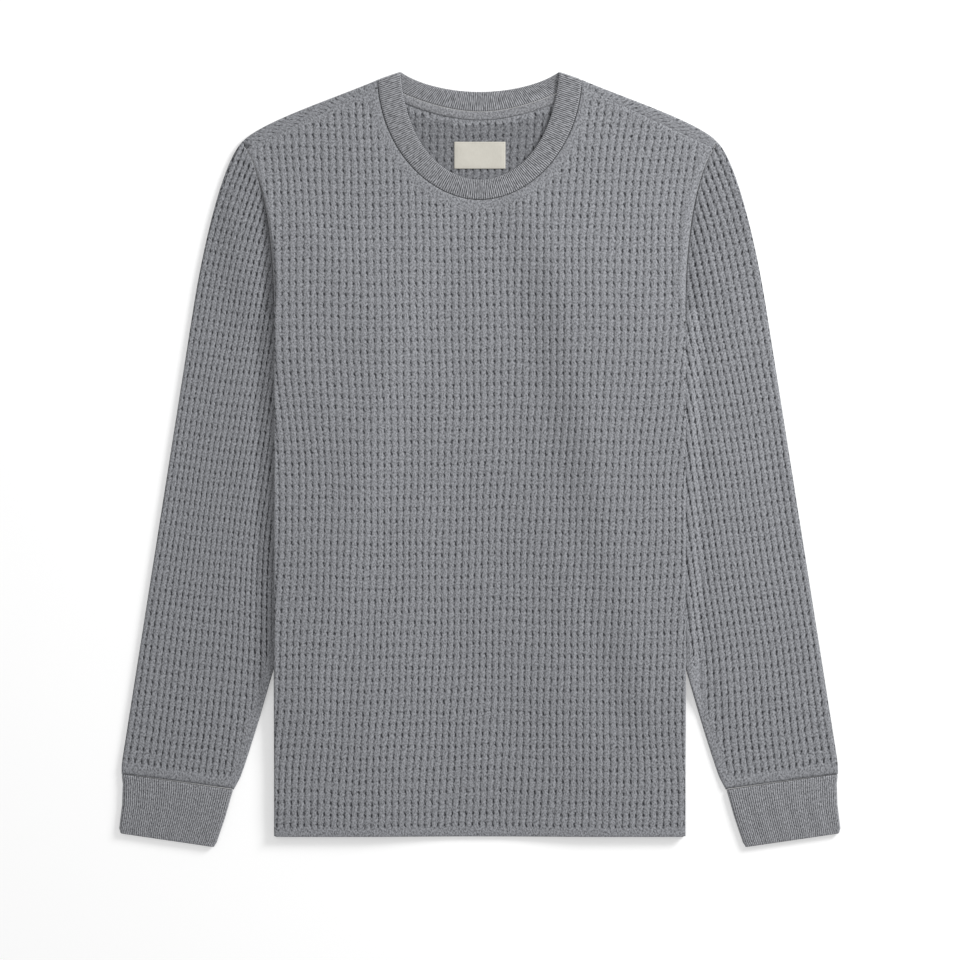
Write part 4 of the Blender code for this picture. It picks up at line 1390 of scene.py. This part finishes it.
def band_path():
    """Seam, folded edge and facing direction of the whole band, from centre front round to itself."""
    bend = (BAND_SHOULDER_Z - RIB_CLOTH / 2) / 2
    reach = bend + RIB_CLOTH / 2
    rows = []
    heights = mix(BAND_FRONT_Z, BAND_SHOULDER_Z, smooth(np.linspace(0.0, NECK_END, 70) / 0.7))
    seam_line, edge_line = (seam("front_neck_" + edge, 70, 0.0, NECK_END) for edge in ("seam", "edge"))
    for at_seam, at_edge, z in list(zip(seam_line, edge_line, heights))[:-1]:
        rows.append((*at_seam, z, *at_edge, z, 0.0, 0.0, 1.0))
    peak = np.array(SEAMS["front_neck_edge"][3]) - np.array(SEAMS["front_neck_seam"][3])
    facing = np.array((peak[1], -peak[0])) / np.linalg.norm(peak)
    for angle in np.radians(np.linspace(90.0, -90.0, 17)):
        half = "front" if angle >= 0 else "back"
        z = RIB_CLOTH / 2 + bend + bend * math.sin(angle)
        inset = reach - bend * math.cos(angle)
        at_seam, at_edge = (near_shoulder(half + "_neck_" + edge, inset) for edge in ("seam", "edge"))
        rows.append((*at_seam, z, *at_edge, z, *(facing * math.cos(angle)), math.sin(angle)))
    for at_seam, at_edge in zip(seam("back_neck_seam", 60)[4:], seam("back_neck_edge", 60)[4:]):
        rows.append((*at_seam, RIB_CLOTH / 2, *at_edge, RIB_CLOTH / 2, 0.0, 0.0, -1.0))
    rows = np.array(rows)
    mirror = rows[-2:0:-1] * (-1, 1, 1, -1, 1, 1, -1, 1, 1)
    return np.concatenate((rows, mirror, rows[:1]))


def neckband():
    path = band_path()
    middle = (path[:, :3] + path[:, 3:6]) / 2
    walked = np.concatenate(([0.0], np.cumsum(np.linalg.norm(np.diff(middle, axis=0), axis=1))))
    ribs = int(round(walked[-1] / BAND_RIB_WIDTH))
    stations = np.arange(ribs * BAND_RIB_STEPS)
    at = stations / len(stations) * walked[-1]
    rows = np.column_stack([np.interp(at, walked, path[:, k]) for k in range(9)])
    at_seam, at_edge, facing = rows[:, :3], rows[:, 3:6], rows[:, 6:]
    facing = facing / np.linalg.norm(facing, axis=1, keepdims=True)
    across = at_edge - at_seam
    width = np.linalg.norm(across, axis=1, keepdims=True)
    across = across / width
    column = stations / BAND_RIB_STEPS
    rib = BAND_RELIEF * (np.cos(2 * np.pi * column)[:, None] - 1.0)
    maker = Maker("neckband_rib")
    loops = []
    for number, (share, up, ribbed) in enumerate(BAND_SECTION):
        lift = up * RIB_CLOTH / 2 + np.sign(up) * rib * ribbed
        points = at_seam + across * width * share + facing * lift
        points[:, 2] = np.maximum(points[:, 2], 0.0)
        row = np.full(len(column), number * BAND_STEP_LENGTH)
        loops.append(maker.add(points, np.column_stack((column, row)), 0.0))
    close_tube(maker, loops)
    return maker


band = neckband().finish(rib_finish("heather_neck_rib", 1.86), "neckband", "rib_knit")


# ---------------------------------------------------------------------------------------------
# Neck tape and label
# Inside the back neck: a folded strip of jersey sewn over the seam, and below it a plain woven
# satin label sewn down round its edge.

TAPE_WIDTH = 0.0075
TAPE_CLOTH = 0.0008
LABEL_SIZE = (0.0482, 0.0254)
LABEL_CENTRE_Y = 0.2853
LABEL_CLOTH = 0.0006
LABEL_DARK = (0.370, 0.345, 0.300)
LABEL_LIGHT = (0.575, 0.556, 0.498)


def rim(grid):
    """The numbers round a grid's edge."""
    return np.concatenate((grid[0, :-1], grid[:-1, -1], grid[-1, :0:-1], grid[:0:-1, 0]))


def plate(name, place, across, along, weave_of):
    """A thin closed strip: place gives the top and underside at shares of its length and width."""
    maker = Maker(name)
    s, t = np.meshgrid(along, across)
    top, under = place(s.ravel(), t.ravel())
    weave = weave_of(s.ravel(), t.ravel())
    upper = maker.add(top, weave, 0.0).reshape(s.shape)
    lower = maker.add(under, weave, 0.0).reshape(s.shape)
    for grid, order in ((upper, 1), (lower, -1)):
        quads = np.stack((grid[:-1, :-1], grid[:-1, 1:], grid[1:, 1:], grid[1:, :-1]), axis=-1).reshape(-1, 4)
        maker.faces.extend(quads[:, ::order].tolist())
    top_rim, low_rim = rim(upper), rim(lower)
    sides = np.column_stack((top_rim, low_rim, np.roll(low_rim, -1), np.roll(top_rim, -1)))
    maker.faces.extend(sides.tolist())
    return maker


def tape_place(s, t):
    """Tape along the neck: s runs from the wearer's right to the left, t from its lower edge up."""
    half = seam("back_neck_seam", 200, 0.125, 1.0)
    line = np.concatenate((half * (-1.0, 1.0), half[::-1][1:]))
    share = np.linspace(0.0, 1.0, len(line))
    along = np.column_stack([np.interp(s, share, line[:, k]) for k in (0, 1)])
    depth = SEAM_GAP * 2 + (1 - t) * TAPE_WIDTH
    flat = along + outward_at(line, s) * depth[:, None]
    edge = np.minimum(t, 1 - t)
    crown = TAPE_CLOTH * (0.35 + 0.65 * smooth(edge / 0.18))
    stitch = -0.00018 * np.exp(-((edge - 0.20) / 0.05)**2) * (0.6 + 0.4 * np.sin(s * 2 * np.pi * 62))
    base = CLOTH + SEAM_GAP
    return np.column_stack((flat, base + crown + stitch)), np.column_stack((flat, np.full(len(s), base)))


tape_finish = rib_finish("heather_neck_tape", 1.1)
tape = plate("neck_tape_jersey", tape_place, np.linspace(0, 1, 13), np.linspace(0, 1, 500),
             lambda s, t: np.column_stack((s * 165.0, t * 7.5)))
tape = tape.finish(tape_finish, "neck_tape", "neck_tape")


def label_place(s, t):
    x = (s - 0.5) * LABEL_SIZE[0]
    y = LABEL_CENTRE_Y + (t - 0.5) * LABEL_SIZE[1]
    edge = np.minimum(np.minimum(s, 1 - s) * LABEL_SIZE[0], np.minimum(t, 1 - t) * LABEL_SIZE[1])
    lift = 0.00025 * np.sin(s * 7.0 + 0.5) * np.sin(t * 3.1)
    top = CLOTH + SEAM_GAP + LABEL_CLOTH * (0.55 + 0.45 * smooth(edge / 0.0009)) + lift * smooth(edge / 0.004)
    top = top - 0.00012 * np.exp(-((edge - 0.0016) / 0.0004)**2)
    return np.column_stack((x, y, top)), np.column_stack((x, y, np.full(len(s), CLOTH + SEAM_GAP)))


def label_finish():
    """Cream satin: close lengthwise threads, a folded edge and a line of stitching inside it."""
    finish = Finish("cream_woven_satin", 0.62, 0.05)
    column, row = finish.weave()
    threads = (column * 2.6).from_whole().squared() * (row * 1.7).from_whole().squared()
    cloudy = finish.noise(finish.vector(column, row), 0.12, 3.0)
    fibres = finish.noise(finish.vector(column * 1.4, row * 0.3), 1.0, 2.0)
    # A line of stitches 1.5 mm inside each edge
    at_side = ((column.size() - 22.6).squared() / 0.12).bell() * (row * 0.7).from_whole().squared()
    at_end = ((row.size() - 11.2).squared() / 0.12).bell() * (column * 0.7).from_whole().squared()
    stitches = (at_side + at_end) * 1.6
    shade = 0.80 + (cloudy - 0.5) * 0.30 + (fibres - 0.5) * 0.30 - threads * 1.2 - stitches * 0.9
    finish.colour(shade, LABEL_DARK, LABEL_LIGHT)
    finish.bump(1.0 - threads * 4.0 - stitches, 0.0002, 0.4)
    return finish.material


label = plate("neck_label_satin", label_place, np.linspace(0, 1, 31), np.linspace(0, 1, 57),
              lambda s, t: np.column_stack(((s - 0.5) * 48.2, (t - 0.5) * 25.4)))
label = label.finish(label_finish(), "neck_label", "label_cloth")
